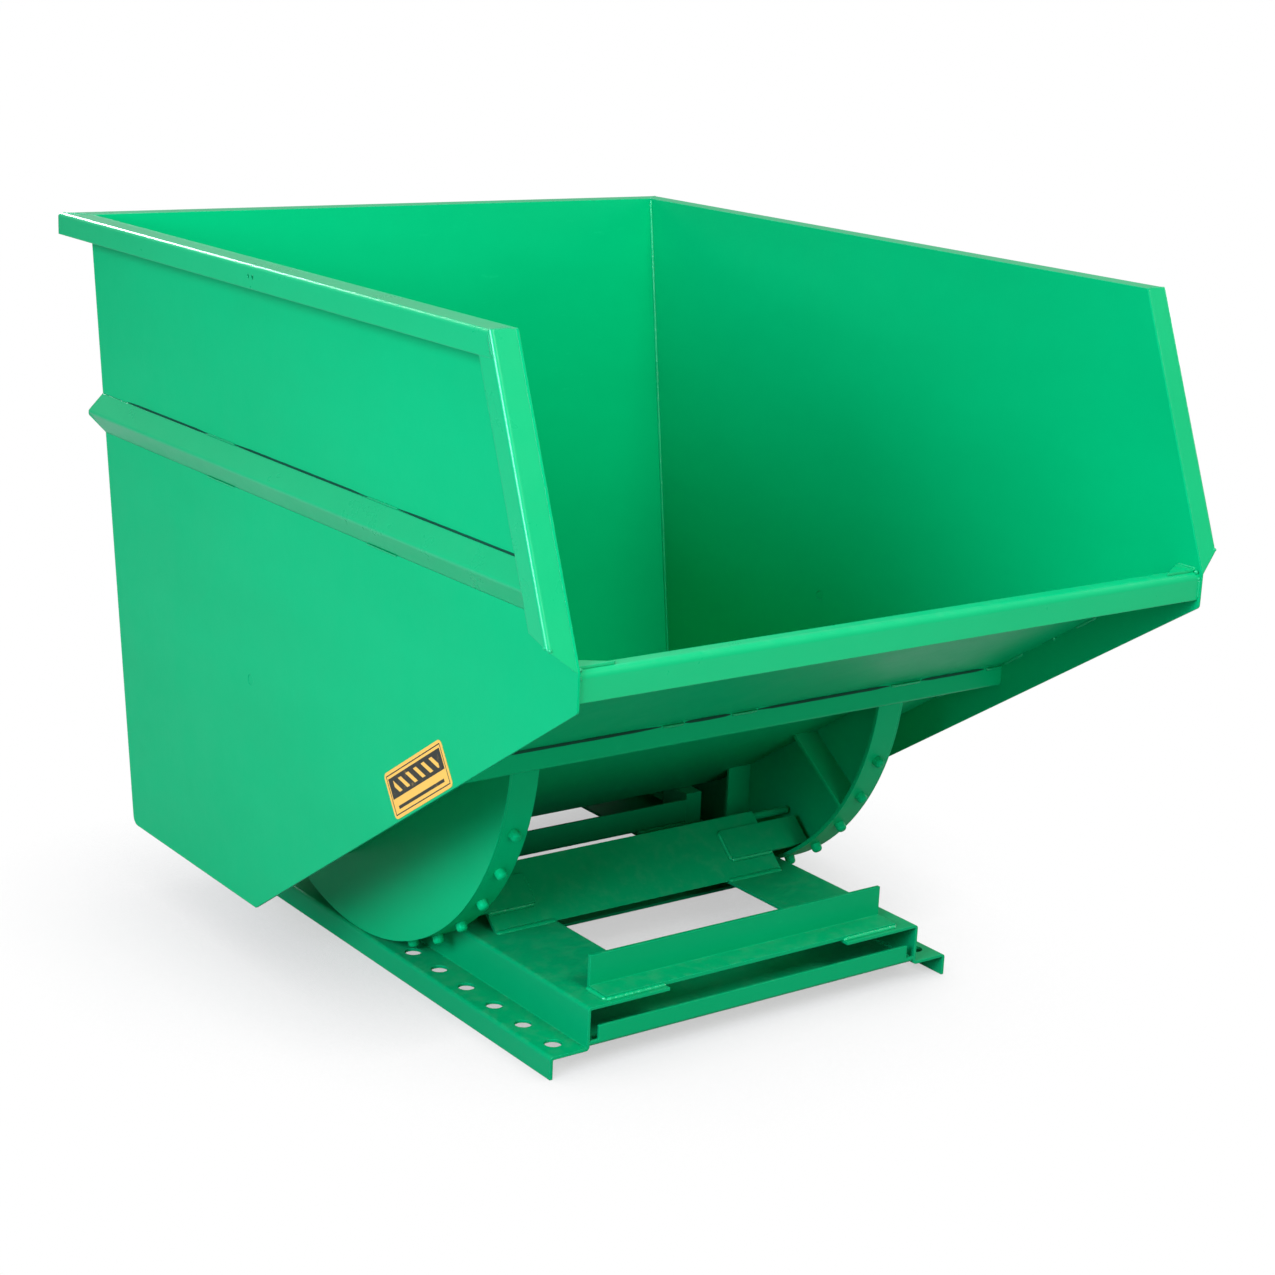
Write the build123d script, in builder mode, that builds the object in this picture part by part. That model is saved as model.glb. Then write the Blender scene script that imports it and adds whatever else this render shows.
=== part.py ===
"""Self-dumping roll-forward hopper: a sheet steel bin that rolls forward on two rockers over a fork base.

Millimetres, +Z up, +X to the right of someone facing the rear wall from the mouth. The mouth faces -Y.
The origin is under the middle of the bounding box, on the ground. Stations are distances back from the
nose of the side panels, and station(d) turns one into a Y coordinate.
"""

import os
from math import atan2, cos, pi, radians, sin, sqrt, tan

from build123d import *

os.makedirs("parts", exist_ok=True)

# ---------------------------------------------------------------- bin
WIDTH = 1440.0  # over the two side panels
HEIGHT = 1420.0  # ground to the top of the rim
SHEET = 5.0  # side panels, floor and formed trim
REAR_SHEET = 6.35  # rear wall; its weight keeps the empty bin back on its rests
NOSE_TOP = 906.0  # top of the short upright nose of a side panel
NOSE_BOTTOM = 840.0
MOUTH_SETBACK = 206.0  # top front corner, behind the nose
KNEE = 1075.0  # station where the sloping lower edge turns level
HEEL = 1635.0  # station of the lower rear corner
REAR_TOP = 1815.0  # station of the upper rear corner
KEEL = 140.0  # height of the level lower edge
NOSE_RADIUS = 10.0
HEEL_RADIUS = 20.0
FLOOR_RISE = 72.5  # floor underside above the sloping lower edge, square to it
FLAT_RISE = 54.0  # floor underside above the level lower edge
FLOOR_BEND = 20.0
BEND = 5.0  # middle radius of ordinary press-brake bends

RIM_OUT = 49.0  # rim and mouth flange stand out this far
RIM_DROP = 44.0
RIM_HOLE_R = 4.0
RIM_HOLE_PITCH = 16.0
RIM_HOLE_STATION = 1010.0
FLANGE_FOOT_RISE = 35.0  # the mouth flange's lower end is this much higher at its outer corner
FLANGE_FOOT_SLOPE = 0.3  # and it rises at this slope towards the rear

RIB_LOW = 973.0
RIB_HIGH = 1055.0
RIB_OUT = 26.0
RIB_SHEET = 4.0

LIP_SETBACK = 4.0
LIP_TOP = 908.0
LIP_BOTTOM = 855.0
LIP_LAP = 70.0  # station where lip and floor plate are welded
LIP_BEND = 11.0
LIP_GUSSET_X = 77.0
LIP_GUSSET_Y = 48.0

LABEL_LENGTH = 222.0
LABEL_HEIGHT = 86.0
LABEL_SHEET = 1.0
LABEL_STATION = 472.0
LABEL_MARGIN = 4.0  # between label and the panel's sloping edge

# ---------------------------------------------------------------- rockers
ROLL_R = 559.0  # rolling radius
ROLL_STATION = 1099.0  # roll axis, behind the nose
ROLL_GAP = 0.3  # rocker over rail shelf
ROCKER_OUTSIDE = 480.0  # outer face of a rocker, from the middle
ROCKER_WIDTH = 65.0
ROCKER_PLATE = 6.0
STRIP = 8.0
STUD_R = 11.0
STUD_OUT = 18.0
STUD_DOME = 8.0
STUD_COUNT = 8
STUD_PITCH = 100.0  # along the rolling circle, and along the rail
STUD_FIRST = 20.6  # angle of the first stud below the roll axis level, degrees
STUD_HOLE_R = 17.0
GUSSET = 8.0
FRONT_GUSSET_ANGLE = 34.5
REAR_GUSSET_AHEAD = 79.0  # upright gusset in front of the roll axis
BRACE_AHEAD = 35.0  # front leg of the cross brace in front of the rockers
BRACE_DROP = 47.0  # depth of that leg under the floor plate

SLUG_R = 10.0  # slugs of panel steel on the roll axis
SLUG_GAP = 0.5

# ---------------------------------------------------------------- base
RAIL_FRONT = 371.0
RAIL_LENGTH = 1269.0
RAIL_SHEET = 6.0
RAIL_LIP_X = 487.0  # outer face of the foot lip
RAIL_WEB_X = 406.0  # outer face of the web
RAIL_INNER_X = 219.0  # inner edge of the top plate
SHELF_Z = 45.0
TOP_Z = 125.0
RAIL_BEND = 5.0

STOP = 8.0  # front stop angle
STOP_HALF = 357.0
STOP_TOP = 193.5
STOP_FRONT = 385.0
STOP_BACK = 447.0
STRAP_LEVEL = 45.0  # underside of the bottom straps
STRAP_DEPTH = 200.0
STRAP_FLANGE = 84.0
STRAP_FLANGE_HALF = 380.0
MIDDLE_STRAP = 878.0
REAR_STRAP_DEPTH = 140.0
REAR_TIE_DEPTH = 90.0

RIDGE = 8.0  # leaning ridge plate
RIDGE_LEAN = 41.2  # degrees above level
RIDGE_LENGTH = 147.0
RIDGE_HALF = 360.0
RETAINER = 8.0  # plates that reach over the rocker strips
RETAINER_INSIDE = 250.0
RETAINER_OUTSIDE = 455.0
RETAINER_LOW = 46.0
RETAINER_HIGH = 114.0
RETAINER_GAP = 4.6  # between a retainer's lower edge and the rocker strip
STOP_BAR_R = 8.0
STOP_BAR_HALF = 460.0
STOP_BAR_UP = 141.0  # up the ridge plate from its foot, under its rear face

REST_FRONT = 1085.0
REST_ANGLE_HEIGHT = 55.0
REST_ANGLE_DEPTH = 50.0
REST_ANGLE_HALF = 353.0
REST_BLOCK_WIDTH = 41.0
REST_BLOCK_DEPTH = 85.0
REST_GAP = 0.3

# ---------------------------------------------------------------- latch
SHAFT_Z = 560.0
SHAFT_OFF = 35.0  # shaft axis behind the rear wall
SHAFT_R = 12.0
SHAFT_LEFT = -680.0
SHAFT_RIGHT = 118.0
SHAFT_RUNNING = 0.08  # radial clearance in the brackets
BRACKET = 10.0
BRACKET_X = (-640.0, -75.0, 75.0)
BRACKET_BOSS = 24.0
BRACKET_SPREAD = 55.0
HOOK = 12.0
HOOK_BOSS = 26.0
HOOK_CATCH = 4.0  # play between hook and keeper when engaged
HOOK_ARM = 40.0
NOSE_REACH = 16.0
NOSE_DEPTH = 22.0
LATCH_SWING = 8.0  # from released, as modelled, to engaged, degrees
LEVER = 8.0
LEVER_X = -560.0
LEVER_WIDTH = 34.0
LEVER_LENGTH = 200.0
GRIP_R = 11.0
GRIP_LENGTH = 120.0
HUB_R = 21.0
HUB_LENGTH = 22.0
KEEPER_R = 10.0
KEEPER_Z = 100.0
KEEPER_BEHIND = 32.0  # keeper axis behind the base's rear end
KEEPER_HALF = 45.0
KEEPER_PLATE_HALF = 150.0
KEEPER_LUG = 10.0

# ---------------------------------------------------------------- worked out
LENGTH = REAR_TOP + RIM_OUT
HALF = WIDTH / 2
INSIDE = HALF - SHEET
RIM_X = HALF + RIM_OUT


def station(distance):
    """Y coordinate of a distance back from the nose."""
    return distance - LENGTH / 2


ROLL_Y = station(ROLL_STATION)
ROLL_Z = SHELF_Z + ROLL_GAP + ROLL_R
MOUTH_LEAN = atan2(MOUTH_SETBACK, HEIGHT - NOSE_TOP)
REAR_LEAN = atan2(REAR_TOP - HEEL, HEIGHT - KEEL)
FLOOR_ANGLE = atan2(NOSE_BOTTOM - KEEL, KNEE)
FLOOR_LEVEL = KEEL + FLAT_RISE
FLOOR_BASE = NOSE_BOTTOM + FLOOR_RISE / cos(FLOOR_ANGLE)  # underside of the sloping floor above the nose
RAIL_BACK = RAIL_FRONT + RAIL_LENGTH
RIDGE_UP = (cos(radians(RIDGE_LEAN)), sin(radians(RIDGE_LEAN)))
RETAINER_DROP = ROLL_Z - TOP_Z - RETAINER_LOW * RIDGE_UP[1]  # roll axis over a retainer's lower edge
RETAINER_AHEAD = sqrt((ROLL_R - STRIP - RETAINER_GAP) ** 2 - RETAINER_DROP**2)
RIDGE_FOOT = ROLL_STATION - RETAINER_AHEAD - RETAINER_LOW * RIDGE_UP[0]
WEB_INSIDE = RAIL_WEB_X - RAIL_SHEET


def floor_underside(distance):
    """Height of the sloping floor's underside at a station."""
    return FLOOR_BASE - tan(FLOOR_ANGLE) * distance


def floor_station(height):
    """Station where the sloping floor's underside has a height."""
    return (FLOOR_BASE - height) / tan(FLOOR_ANGLE)


def wall_y(height):
    """Y of the rear wall's outer face at a height."""
    return station(HEEL) + (height - KEEL) * tan(REAR_LEAN)


def behind_flange(height):
    """Y of the mouth flange's rear face at a height."""
    return station(0) + (height - NOSE_TOP) * tan(MOUTH_LEAN) + SHEET / cos(MOUTH_LEAN)


FLOOR_KNEE = floor_station(FLOOR_LEVEL)
BRACE_FRONT = ROLL_STATION - ROLL_R - BRACE_AHEAD
BRACE_BOTTOM = floor_underside(BRACE_FRONT) - BRACE_DROP
SHAFT_Y = wall_y(SHAFT_Z) + SHAFT_OFF

MOUTH_FACE = Plane(
    origin=(0, station(0), NOSE_TOP), x_dir=(1, 0, 0), z_dir=(0, -cos(MOUTH_LEAN), sin(MOUTH_LEAN))
)
REAR_FACE = Plane(
    origin=(0, wall_y(KEEL), KEEL), x_dir=(-1, 0, 0), z_dir=(0, cos(REAR_LEAN), -sin(REAR_LEAN))
)


def corner_plane(side):
    """Mitre plane up the rear corner of one side, facing the side's own half."""
    edge = Vector(0, sin(REAR_LEAN), cos(REAR_LEAN))
    bisector = Vector(side, 1, 0)
    normal = bisector.cross(edge) * side
    return Plane(origin=(side * HALF, wall_y(RIB_LOW), RIB_LOW), z_dir=normal)


def formed(points, thickness, bend):
    """Section of bent sheet: a middle line through points with rounded bends, given a thickness."""
    with BuildLine() as middle:
        if len(points) > 2:
            FilletPolyline(*points, radius=bend)
        else:
            Line(*points)
    with BuildSketch() as section:
        trace(middle.wires()[0], line_width=thickness)
    return section.sketch


def save(piece, name):
    """Label a finished piece and write its file."""
    piece.part.label = name
    export_step(piece.part, f"parts/{name}.step")


SIDES = (("left", -1), ("right", 1))

# ================================================================ bin shell
SIDE_PROFILE = [
    (station(0), NOSE_TOP),
    (station(0), NOSE_BOTTOM),
    (station(KNEE), KEEL),
    (station(HEEL), KEEL),
    (station(REAR_TOP), HEIGHT),
    (station(MOUTH_SETBACK), HEIGHT),
]

for name, side in SIDES:
    inner = side * INSIDE
    with BuildPart() as side_panel:
        with BuildSketch(Plane.YZ.offset(inner)) as profile:
            with BuildLine():
                Polyline(*SIDE_PROFILE, close=True)
            make_face()
            nose = profile.vertices().group_by(Axis.X)[0]
            fillet(nose, radius=NOSE_RADIUS)
            heel = profile.vertices().filter_by_position(Axis.Y, KEEL - 1, KEEL + 1).sort_by(Axis.X)[-1]
            fillet(heel, radius=HEEL_RADIUS)
            with Locations((ROLL_Y, ROLL_Z)):
                Circle(SLUG_R + SLUG_GAP, mode=Mode.SUBTRACT)
        extrude(amount=side * SHEET)
    save(side_panel, f"{name}_side_panel")

# Two slugs of the panels' own steel on the roll axis, a little thinner than the panels.
with BuildPart() as roll_slugs:
    for name, side in SIDES:
        with BuildSketch(Plane.YZ.offset(side * (INSIDE + SLUG_GAP))):
            with Locations((ROLL_Y, ROLL_Z)):
                Circle(SLUG_R)
        extrude(amount=side * (SHEET - 2 * SLUG_GAP))
save(roll_slugs, "roll_axis_slugs")

# Bent floor: a slope up to the lip and a level part under the rear of the bin.
slope_lift = SHEET / 2 / cos(FLOOR_ANGLE)
lap_y = station(LIP_LAP)
lap_z = floor_underside(LIP_LAP) + slope_lift
bend_station = floor_station(FLOOR_LEVEL + SHEET / 2 - slope_lift)
FLOOR_END = wall_y(FLOOR_LEVEL) + HEEL_RADIUS
with BuildPart() as floor_plate:
    with BuildSketch(Plane.YZ):
        floor_line = [
            (lap_y, lap_z),
            (station(bend_station), FLOOR_LEVEL + SHEET / 2),
            (FLOOR_END, FLOOR_LEVEL + SHEET / 2),
        ]
        add(formed(floor_line, SHEET, FLOOR_BEND))
    extrude(amount=INSIDE, both=True)
    split(bisect_by=REAR_FACE.offset(-REAR_SHEET), keep=Keep.BOTTOM)
save(floor_plate, "floor_plate")

# Leaning rear wall between the side panels, standing behind the floor plate.
with BuildPart() as rear_wall:
    with BuildSketch(Plane.YZ):
        with BuildLine():
            thick = REAR_SHEET / cos(REAR_LEAN)
            low_y = wall_y(FLOOR_LEVEL)
            high_y = wall_y(HEIGHT)
            Polyline(
                (low_y - thick, FLOOR_LEVEL),
                (low_y, FLOOR_LEVEL),
                (high_y, HEIGHT),
                (high_y - thick, HEIGHT),
                close=True,
            )
        make_face()
    extrude(amount=INSIDE, both=True)
save(rear_wall, "rear_wall")

# Front lip: upright face, rounded crest, narrow top and a tail welded to the floor plate.
crest_z = LIP_TOP - SHEET / 2
crest_station = LIP_LAP - (crest_z - lap_z) / tan(FLOOR_ANGLE)
with BuildPart() as front_lip:
    with BuildSketch(Plane.YZ):
        lip_line = [
            (station(LIP_SETBACK + SHEET / 2), LIP_BOTTOM),
            (station(LIP_SETBACK + SHEET / 2), crest_z),
            (station(crest_station), crest_z),
            (lap_y, lap_z),
        ]
        add(formed(lip_line, SHEET, LIP_BEND))
    extrude(amount=INSIDE, both=True)
save(front_lip, "front_lip")

# Small three-cornered plates that tie the lip to the side panels.
with BuildPart() as lip_gussets:
    for name, side in SIDES:
        with BuildSketch(Plane.XY.offset(LIP_TOP)):
            with BuildLine():
                front_y = station(LIP_SETBACK + LIP_BEND)
                Polyline(
                    (side * INSIDE, front_y),
                    (side * (INSIDE - LIP_GUSSET_X), front_y),
                    (side * INSIDE, front_y + LIP_GUSSET_Y),
                    close=True,
                )
            make_face()
        extrude(amount=SHEET)
save(lip_gussets, "lip_corner_gussets")

# ================================================================ rim, mouth flanges and ribs
rim_middle = HEIGHT - SHEET / 2
rim_edge = RIM_OUT - SHEET / 2

for name, side in SIDES:
    mitre = Plane(origin=(side * HALF, station(REAR_TOP), 0), z_dir=(side, -1, 0))
    with BuildPart() as rim:
        with BuildSketch(Plane.XZ.offset(-station(0))):
            section = [
                (side * HALF, rim_middle),
                (side * (HALF + rim_edge), rim_middle),
                (side * (HALF + rim_edge), HEIGHT - RIM_DROP),
            ]
            add(formed(section, SHEET, BEND))
        extrude(amount=-LENGTH)
        split(bisect_by=mitre, keep=Keep.TOP)
        split(bisect_by=MOUTH_FACE.offset(-SHEET), keep=Keep.BOTTOM)
        if side < 0:
            hole_plane = Plane(
                origin=(-RIM_X, station(RIM_HOLE_STATION), HEIGHT - RIM_DROP / 2), z_dir=(-1, 0, 0)
            )
            with BuildSketch(hole_plane):
                with GridLocations(RIM_HOLE_PITCH, RIM_HOLE_PITCH, 1, 2):
                    Circle(RIM_HOLE_R)
            extrude(amount=-2 * SHEET, mode=Mode.SUBTRACT)
    save(rim, f"rim_{name}")

    # Angle along the mouth edge: its front leg lies in the mouth face and its rear leg is as deep as the rim's.
    # Its lower end is cut on a slant, and its rear leg starts under the rim.
    with BuildPart() as mouth_flange:
        with BuildSketch(Plane(origin=MOUTH_FACE.origin, x_dir=(1, 0, 0), z_dir=MOUTH_FACE.y_dir)):
            section = [
                (side * HALF, SHEET / 2),
                (side * (HALF + rim_edge), SHEET / 2),
                (side * (HALF + rim_edge), RIM_DROP),
            ]
            add(formed(section, SHEET, BEND))
        extrude(amount=LENGTH)
        split(bisect_by=Plane.XY.offset(HEIGHT), keep=Keep.BOTTOM)
        with BuildSketch(Plane.YZ):
            with BuildLine():
                Polyline(
                    (behind_flange(HEIGHT - RIM_DROP), HEIGHT - RIM_DROP),
                    (behind_flange(HEIGHT), HEIGHT),
                    (station(LENGTH), HEIGHT),
                    (station(LENGTH), HEIGHT - RIM_DROP),
                    close=True,
                )
            make_face()
        extrude(amount=RIM_X, both=True, mode=Mode.SUBTRACT)
        across = Vector(side * RIM_OUT, 0, FLANGE_FOOT_RISE)
        back = Vector(0, 1, FLANGE_FOOT_SLOPE)
        foot_cut = Plane(origin=(side * HALF, station(0), NOSE_TOP), z_dir=across.cross(back) * side)
        split(bisect_by=foot_cut, keep=Keep.TOP)
    save(mouth_flange, f"mouth_flange_{name}")

with BuildPart() as rim_rear:
    with BuildSketch(Plane.YZ):
        section = [
            (station(REAR_TOP) - SHEET, rim_middle),
            (station(REAR_TOP) + rim_edge, rim_middle),
            (station(REAR_TOP) + rim_edge, HEIGHT - RIM_DROP),
        ]
        add(formed(section, SHEET, BEND))
    extrude(amount=RIM_X, both=True)
    split(bisect_by=REAR_FACE, keep=Keep.TOP)
    for name, side in SIDES:
        mitre = Plane(origin=(side * HALF, station(REAR_TOP), 0), z_dir=(side, -1, 0))
        split(bisect_by=mitre, keep=Keep.BOTTOM)
save(rim_rear, "rim_rear")

rib_middle = (RIB_LOW + RIB_HIGH) / 2
rib_half = (RIB_HIGH - RIB_LOW) / 2
rib_reach = RIB_OUT - RIB_SHEET / 2
rib_root = rib_half - RIB_SHEET  # half height of the middle line at the panel
rib_tail = 0.5  # the section is drawn this far into the panel, as a share of its reach, then cut flush

for name, side in SIDES:
    with BuildPart() as rib:
        with BuildSketch(Plane.XZ.offset(-station(0))):
            section = [
                (side * (HALF - rib_reach * rib_tail), rib_middle - rib_root * (1 + rib_tail)),
                (side * (HALF + rib_reach), rib_middle),
                (side * (HALF - rib_reach * rib_tail), rib_middle + rib_root * (1 + rib_tail)),
            ]
            add(formed(section, RIB_SHEET, 2 * RIB_SHEET))
        extrude(amount=-LENGTH)
        split(bisect_by=Plane(origin=(side * HALF, 0, 0), z_dir=(side, 0, 0)), keep=Keep.TOP)
        split(bisect_by=MOUTH_FACE.offset(-SHEET), keep=Keep.BOTTOM)
        split(bisect_by=corner_plane(side), keep=Keep.TOP)
    save(rib, f"rib_{name}")

with BuildPart() as rib_rear:
    wall_foot = Plane(
        origin=(0, wall_y(rib_middle), rib_middle),
        x_dir=(0, cos(REAR_LEAN), -sin(REAR_LEAN)),
        z_dir=(1, 0, 0),
    )
    with BuildSketch(wall_foot):
        section = [
            (-rib_reach * rib_tail, -rib_root * (1 + rib_tail)),
            (rib_reach, 0),
            (-rib_reach * rib_tail, rib_root * (1 + rib_tail)),
        ]
        add(formed(section, RIB_SHEET, 2 * RIB_SHEET))
    extrude(amount=RIM_X, both=True)
    split(bisect_by=REAR_FACE, keep=Keep.TOP)
    for name, side in SIDES:
        split(bisect_by=corner_plane(side), keep=Keep.BOTTOM)
save(rib_rear, "rib_rear")

# Plain plate along the sloping lower edge of the left panel.
label_up = LABEL_MARGIN + LABEL_HEIGHT / 2
label_centre_y = station(LABEL_STATION)
label_centre_z = (
    NOSE_BOTTOM - tan(FLOOR_ANGLE) * LABEL_STATION + label_up / cos(FLOOR_ANGLE)
)
with BuildPart() as label_plate:
    label_face = Plane(
        origin=(-HALF, label_centre_y, label_centre_z),
        x_dir=(0, -cos(FLOOR_ANGLE), sin(FLOOR_ANGLE)),
        z_dir=(-1, 0, 0),
    )
    with BuildSketch(label_face):
        RectangleRounded(LABEL_LENGTH, LABEL_HEIGHT, 2 * SHEET)
    extrude(amount=LABEL_SHEET)
save(label_plate, "label_plate")

# ================================================================ cross brace and rockers
# Bent brace across the bin's full width: a front leg hangs from the floor plate, a lower leg runs back to it.
UNDER_FLOOR = [
    (station(-ROLL_R), floor_underside(-ROLL_R)),
    (station(FLOOR_KNEE), FLOOR_LEVEL),
    (station(LENGTH + ROLL_R), FLOOR_LEVEL),
    (station(LENGTH + ROLL_R), -ROLL_R),
    (station(-ROLL_R), -ROLL_R),
]
with BuildPart() as cross_brace:
    leg = station(BRACE_FRONT + SHEET / 2)
    low = BRACE_BOTTOM + SHEET / 2
    with BuildSketch(Plane.YZ):
        brace_line = [
            (leg, floor_underside(BRACE_FRONT) + BRACE_DROP),
            (leg, low),
            (station(floor_station(BRACE_BOTTOM) + BRACE_DROP), low),
        ]
        add(formed(brace_line, SHEET, BEND))
        with BuildLine():
            Polyline(*UNDER_FLOOR, close=True)
        make_face(mode=Mode.INTERSECT)
    extrude(amount=INSIDE, both=True)
save(cross_brace, "cross_brace")

# Outline of all that a rocker may fill: under the brace, the sloping floor and the level floor.
UNDER_BRACE = [
    (station(-ROLL_R), BRACE_BOTTOM),
    (station(floor_station(BRACE_BOTTOM)), BRACE_BOTTOM),
    (station(FLOOR_KNEE), FLOOR_LEVEL),
    (station(LENGTH + ROLL_R), FLOOR_LEVEL),
    (station(LENGTH + ROLL_R), -ROLL_R),
    (station(-ROLL_R), -ROLL_R),
]
strip_inside = ROCKER_OUTSIDE - ROCKER_WIDTH
strip_outside = ROCKER_OUTSIDE - ROCKER_PLATE
stud_angles = [radians(STUD_FIRST) + k * STUD_PITCH / ROLL_R for k in range(STUD_COUNT)]
stud_x = (strip_inside + ROCKER_OUTSIDE) / 2

for name, side in SIDES:
    with BuildPart() as rocker_plate:
        with BuildSketch(Plane.YZ.offset(side * strip_outside)):
            with Locations((ROLL_Y, ROLL_Z)):
                Circle(ROLL_R)
            with BuildLine():
                Polyline(*UNDER_BRACE, close=True)
            make_face(mode=Mode.INTERSECT)
        extrude(amount=side * ROCKER_PLATE)
    save(rocker_plate, f"rocker_plate_{name}")

    with BuildPart() as rocker_strip:
        with BuildSketch(Plane.YZ.offset(side * strip_inside)):
            with Locations((ROLL_Y, ROLL_Z)):
                Circle(ROLL_R)
                Circle(ROLL_R - STRIP, mode=Mode.SUBTRACT)
            with BuildLine():
                Polyline(*UNDER_BRACE, close=True)
            make_face(mode=Mode.INTERSECT)
        extrude(amount=side * (strip_outside - strip_inside))
    save(rocker_strip, f"rocker_strip_{name}")

    with BuildPart() as rocker_studs:
        for angle in stud_angles:
            outward = Vector(0, -cos(angle), -sin(angle))
            foot = Vector(side * stud_x, ROLL_Y, ROLL_Z) + outward * ROLL_R
            with BuildSketch(Plane(origin=foot, z_dir=outward)):
                Circle(STUD_R)
            extrude(amount=STUD_OUT)
        axis_point = Vector(side * stud_x, ROLL_Y, ROLL_Z)
        tips = rocker_studs.edges().filter_by(GeomType.CIRCLE)
        tips = tips.filter_by(lambda edge: (edge.arc_center - axis_point).length > ROLL_R + STUD_OUT / 2)
        fillet(tips, radius=STUD_DOME)
    save(rocker_studs, f"rocker_studs_{name}")

    # Two flat bars across the strip brace it against the floor plate: one radial, one upright.
    with BuildPart() as rocker_gussets:
        with BuildSketch(Plane.YZ.offset(side * strip_inside)):
            with Locations(Location((ROLL_Y, ROLL_Z), FRONT_GUSSET_ANGLE)):
                with Locations((-ROLL_R / 2, 0)):
                    Rectangle(ROLL_R, GUSSET)
            with Locations((ROLL_Y - REAR_GUSSET_AHEAD, ROLL_Z / 2)):
                Rectangle(GUSSET, ROLL_Z)
            with Locations((ROLL_Y, ROLL_Z)):
                Circle(ROLL_R - STRIP, mode=Mode.INTERSECT)
            with BuildLine():
                Polyline(*UNDER_FLOOR, close=True)
            make_face(mode=Mode.INTERSECT)
        extrude(amount=side * (strip_outside - strip_inside))
    save(rocker_gussets, f"rocker_gussets_{name}")

# ================================================================ base
hole_stations = [ROLL_STATION - ROLL_R * (pi / 2 - angle) for angle in stud_angles]
rail_half = RAIL_SHEET / 2

for name, side in SIDES:
    with BuildPart() as rail:
        with BuildSketch(Plane.XZ.offset(-station(RAIL_FRONT))):
            section = [
                (side * (RAIL_LIP_X - rail_half), 0),
                (side * (RAIL_LIP_X - rail_half), SHELF_Z - rail_half),
                (side * (RAIL_WEB_X - rail_half), SHELF_Z - rail_half),
                (side * (RAIL_WEB_X - rail_half), TOP_Z - rail_half),
                (side * RAIL_INNER_X, TOP_Z - rail_half),
            ]
            add(formed(section, RAIL_SHEET, RAIL_BEND))
        extrude(amount=-RAIL_LENGTH)
        with BuildSketch(Plane.XY.offset(SHELF_Z)):
            with Locations(*[(side * stud_x, station(place)) for place in hole_stations]):
                Circle(STUD_HOLE_R)
        extrude(amount=-2 * RAIL_SHEET, mode=Mode.SUBTRACT)
    save(rail, f"rail_{name}")

with BuildPart() as front_stop:
    with BuildSketch(Plane.YZ):
        stop_line = [
            (station(STOP_FRONT), TOP_Z + STOP / 2),
            (station(STOP_BACK) - STOP / 2, TOP_Z + STOP / 2),
            (station(STOP_BACK) - STOP / 2, STOP_TOP),
        ]
        add(formed(stop_line, STOP, BEND))
    extrude(amount=STOP_HALF, both=True)
save(front_stop, "front_stop_angle")

strap_middle = STRAP_LEVEL + rail_half
with BuildPart() as front_strap:
    with BuildSketch(Plane.YZ):
        strap_line = [
            (station(RAIL_FRONT) + rail_half, STRAP_FLANGE),
            (station(RAIL_FRONT) + rail_half, strap_middle),
            (station(RAIL_FRONT + STRAP_DEPTH), strap_middle),
        ]
        add(formed(strap_line, RAIL_SHEET, RAIL_BEND))
    extrude(amount=WEB_INSIDE, both=True)
    for name, side in SIDES:
        with BuildSketch(Plane.XZ.offset(-station(RAIL_FRONT))):
            with Locations((side * (STRAP_FLANGE_HALF + WEB_INSIDE), STRAP_FLANGE)):
                Rectangle(2 * WEB_INSIDE, 2 * (STRAP_FLANGE - STRAP_LEVEL - 2 * RAIL_SHEET))
        extrude(amount=-3 * RAIL_SHEET, mode=Mode.SUBTRACT)
save(front_strap, "front_bottom_strap")

with BuildPart() as middle_strap:
    with BuildSketch(Plane.XY.offset(STRAP_LEVEL)):
        with Locations((0, station(MIDDLE_STRAP + STRAP_DEPTH / 2))):
            Rectangle(2 * WEB_INSIDE, STRAP_DEPTH)
    extrude(amount=RAIL_SHEET)
save(middle_strap, "middle_bottom_strap")

with BuildPart() as rear_strap:
    with BuildSketch(Plane.XY.offset(STRAP_LEVEL)):
        with Locations((0, station(RAIL_BACK - REAR_STRAP_DEPTH / 2))):
            Rectangle(2 * WEB_INSIDE, REAR_STRAP_DEPTH)
    extrude(amount=RAIL_SHEET)
save(rear_strap, "rear_bottom_strap")

with BuildPart() as rear_tie:
    with BuildSketch(Plane.XY.offset(TOP_Z)):
        with Locations((0, station(RAIL_BACK - REAR_TIE_DEPTH / 2))):
            Rectangle(2 * RIDGE_HALF, REAR_TIE_DEPTH)
    extrude(amount=RAIL_SHEET)
save(rear_tie, "rear_top_tie")

# Leaning ridge across the rails, with retainers over the rocker strips and the bar that stops the roll.
ridge_face = Plane(
    origin=(0, station(RIDGE_FOOT), TOP_Z),
    x_dir=(1, 0, 0),
    z_dir=(0, -RIDGE_UP[1], RIDGE_UP[0]),
)
with BuildPart() as ridge_plate:
    with BuildSketch(ridge_face):
        with Locations((0, RIDGE_LENGTH / 2 - RIDGE)):
            Rectangle(2 * RIDGE_HALF, RIDGE_LENGTH + 2 * RIDGE)
    extrude(amount=-RIDGE)
    split(bisect_by=Plane.XY.offset(TOP_Z), keep=Keep.TOP)
save(ridge_plate, "ridge_plate")

with BuildPart() as retainers:
    for name, side in SIDES:
        with BuildSketch(ridge_face):
            retainer_middle = side * (RETAINER_INSIDE + RETAINER_OUTSIDE) / 2
            with Locations((retainer_middle, (RETAINER_LOW + RETAINER_HIGH) / 2)):
                Rectangle(RETAINER_OUTSIDE - RETAINER_INSIDE, RETAINER_HIGH - RETAINER_LOW)
        extrude(amount=RETAINER)
save(retainers, "rocker_retainers")

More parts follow.
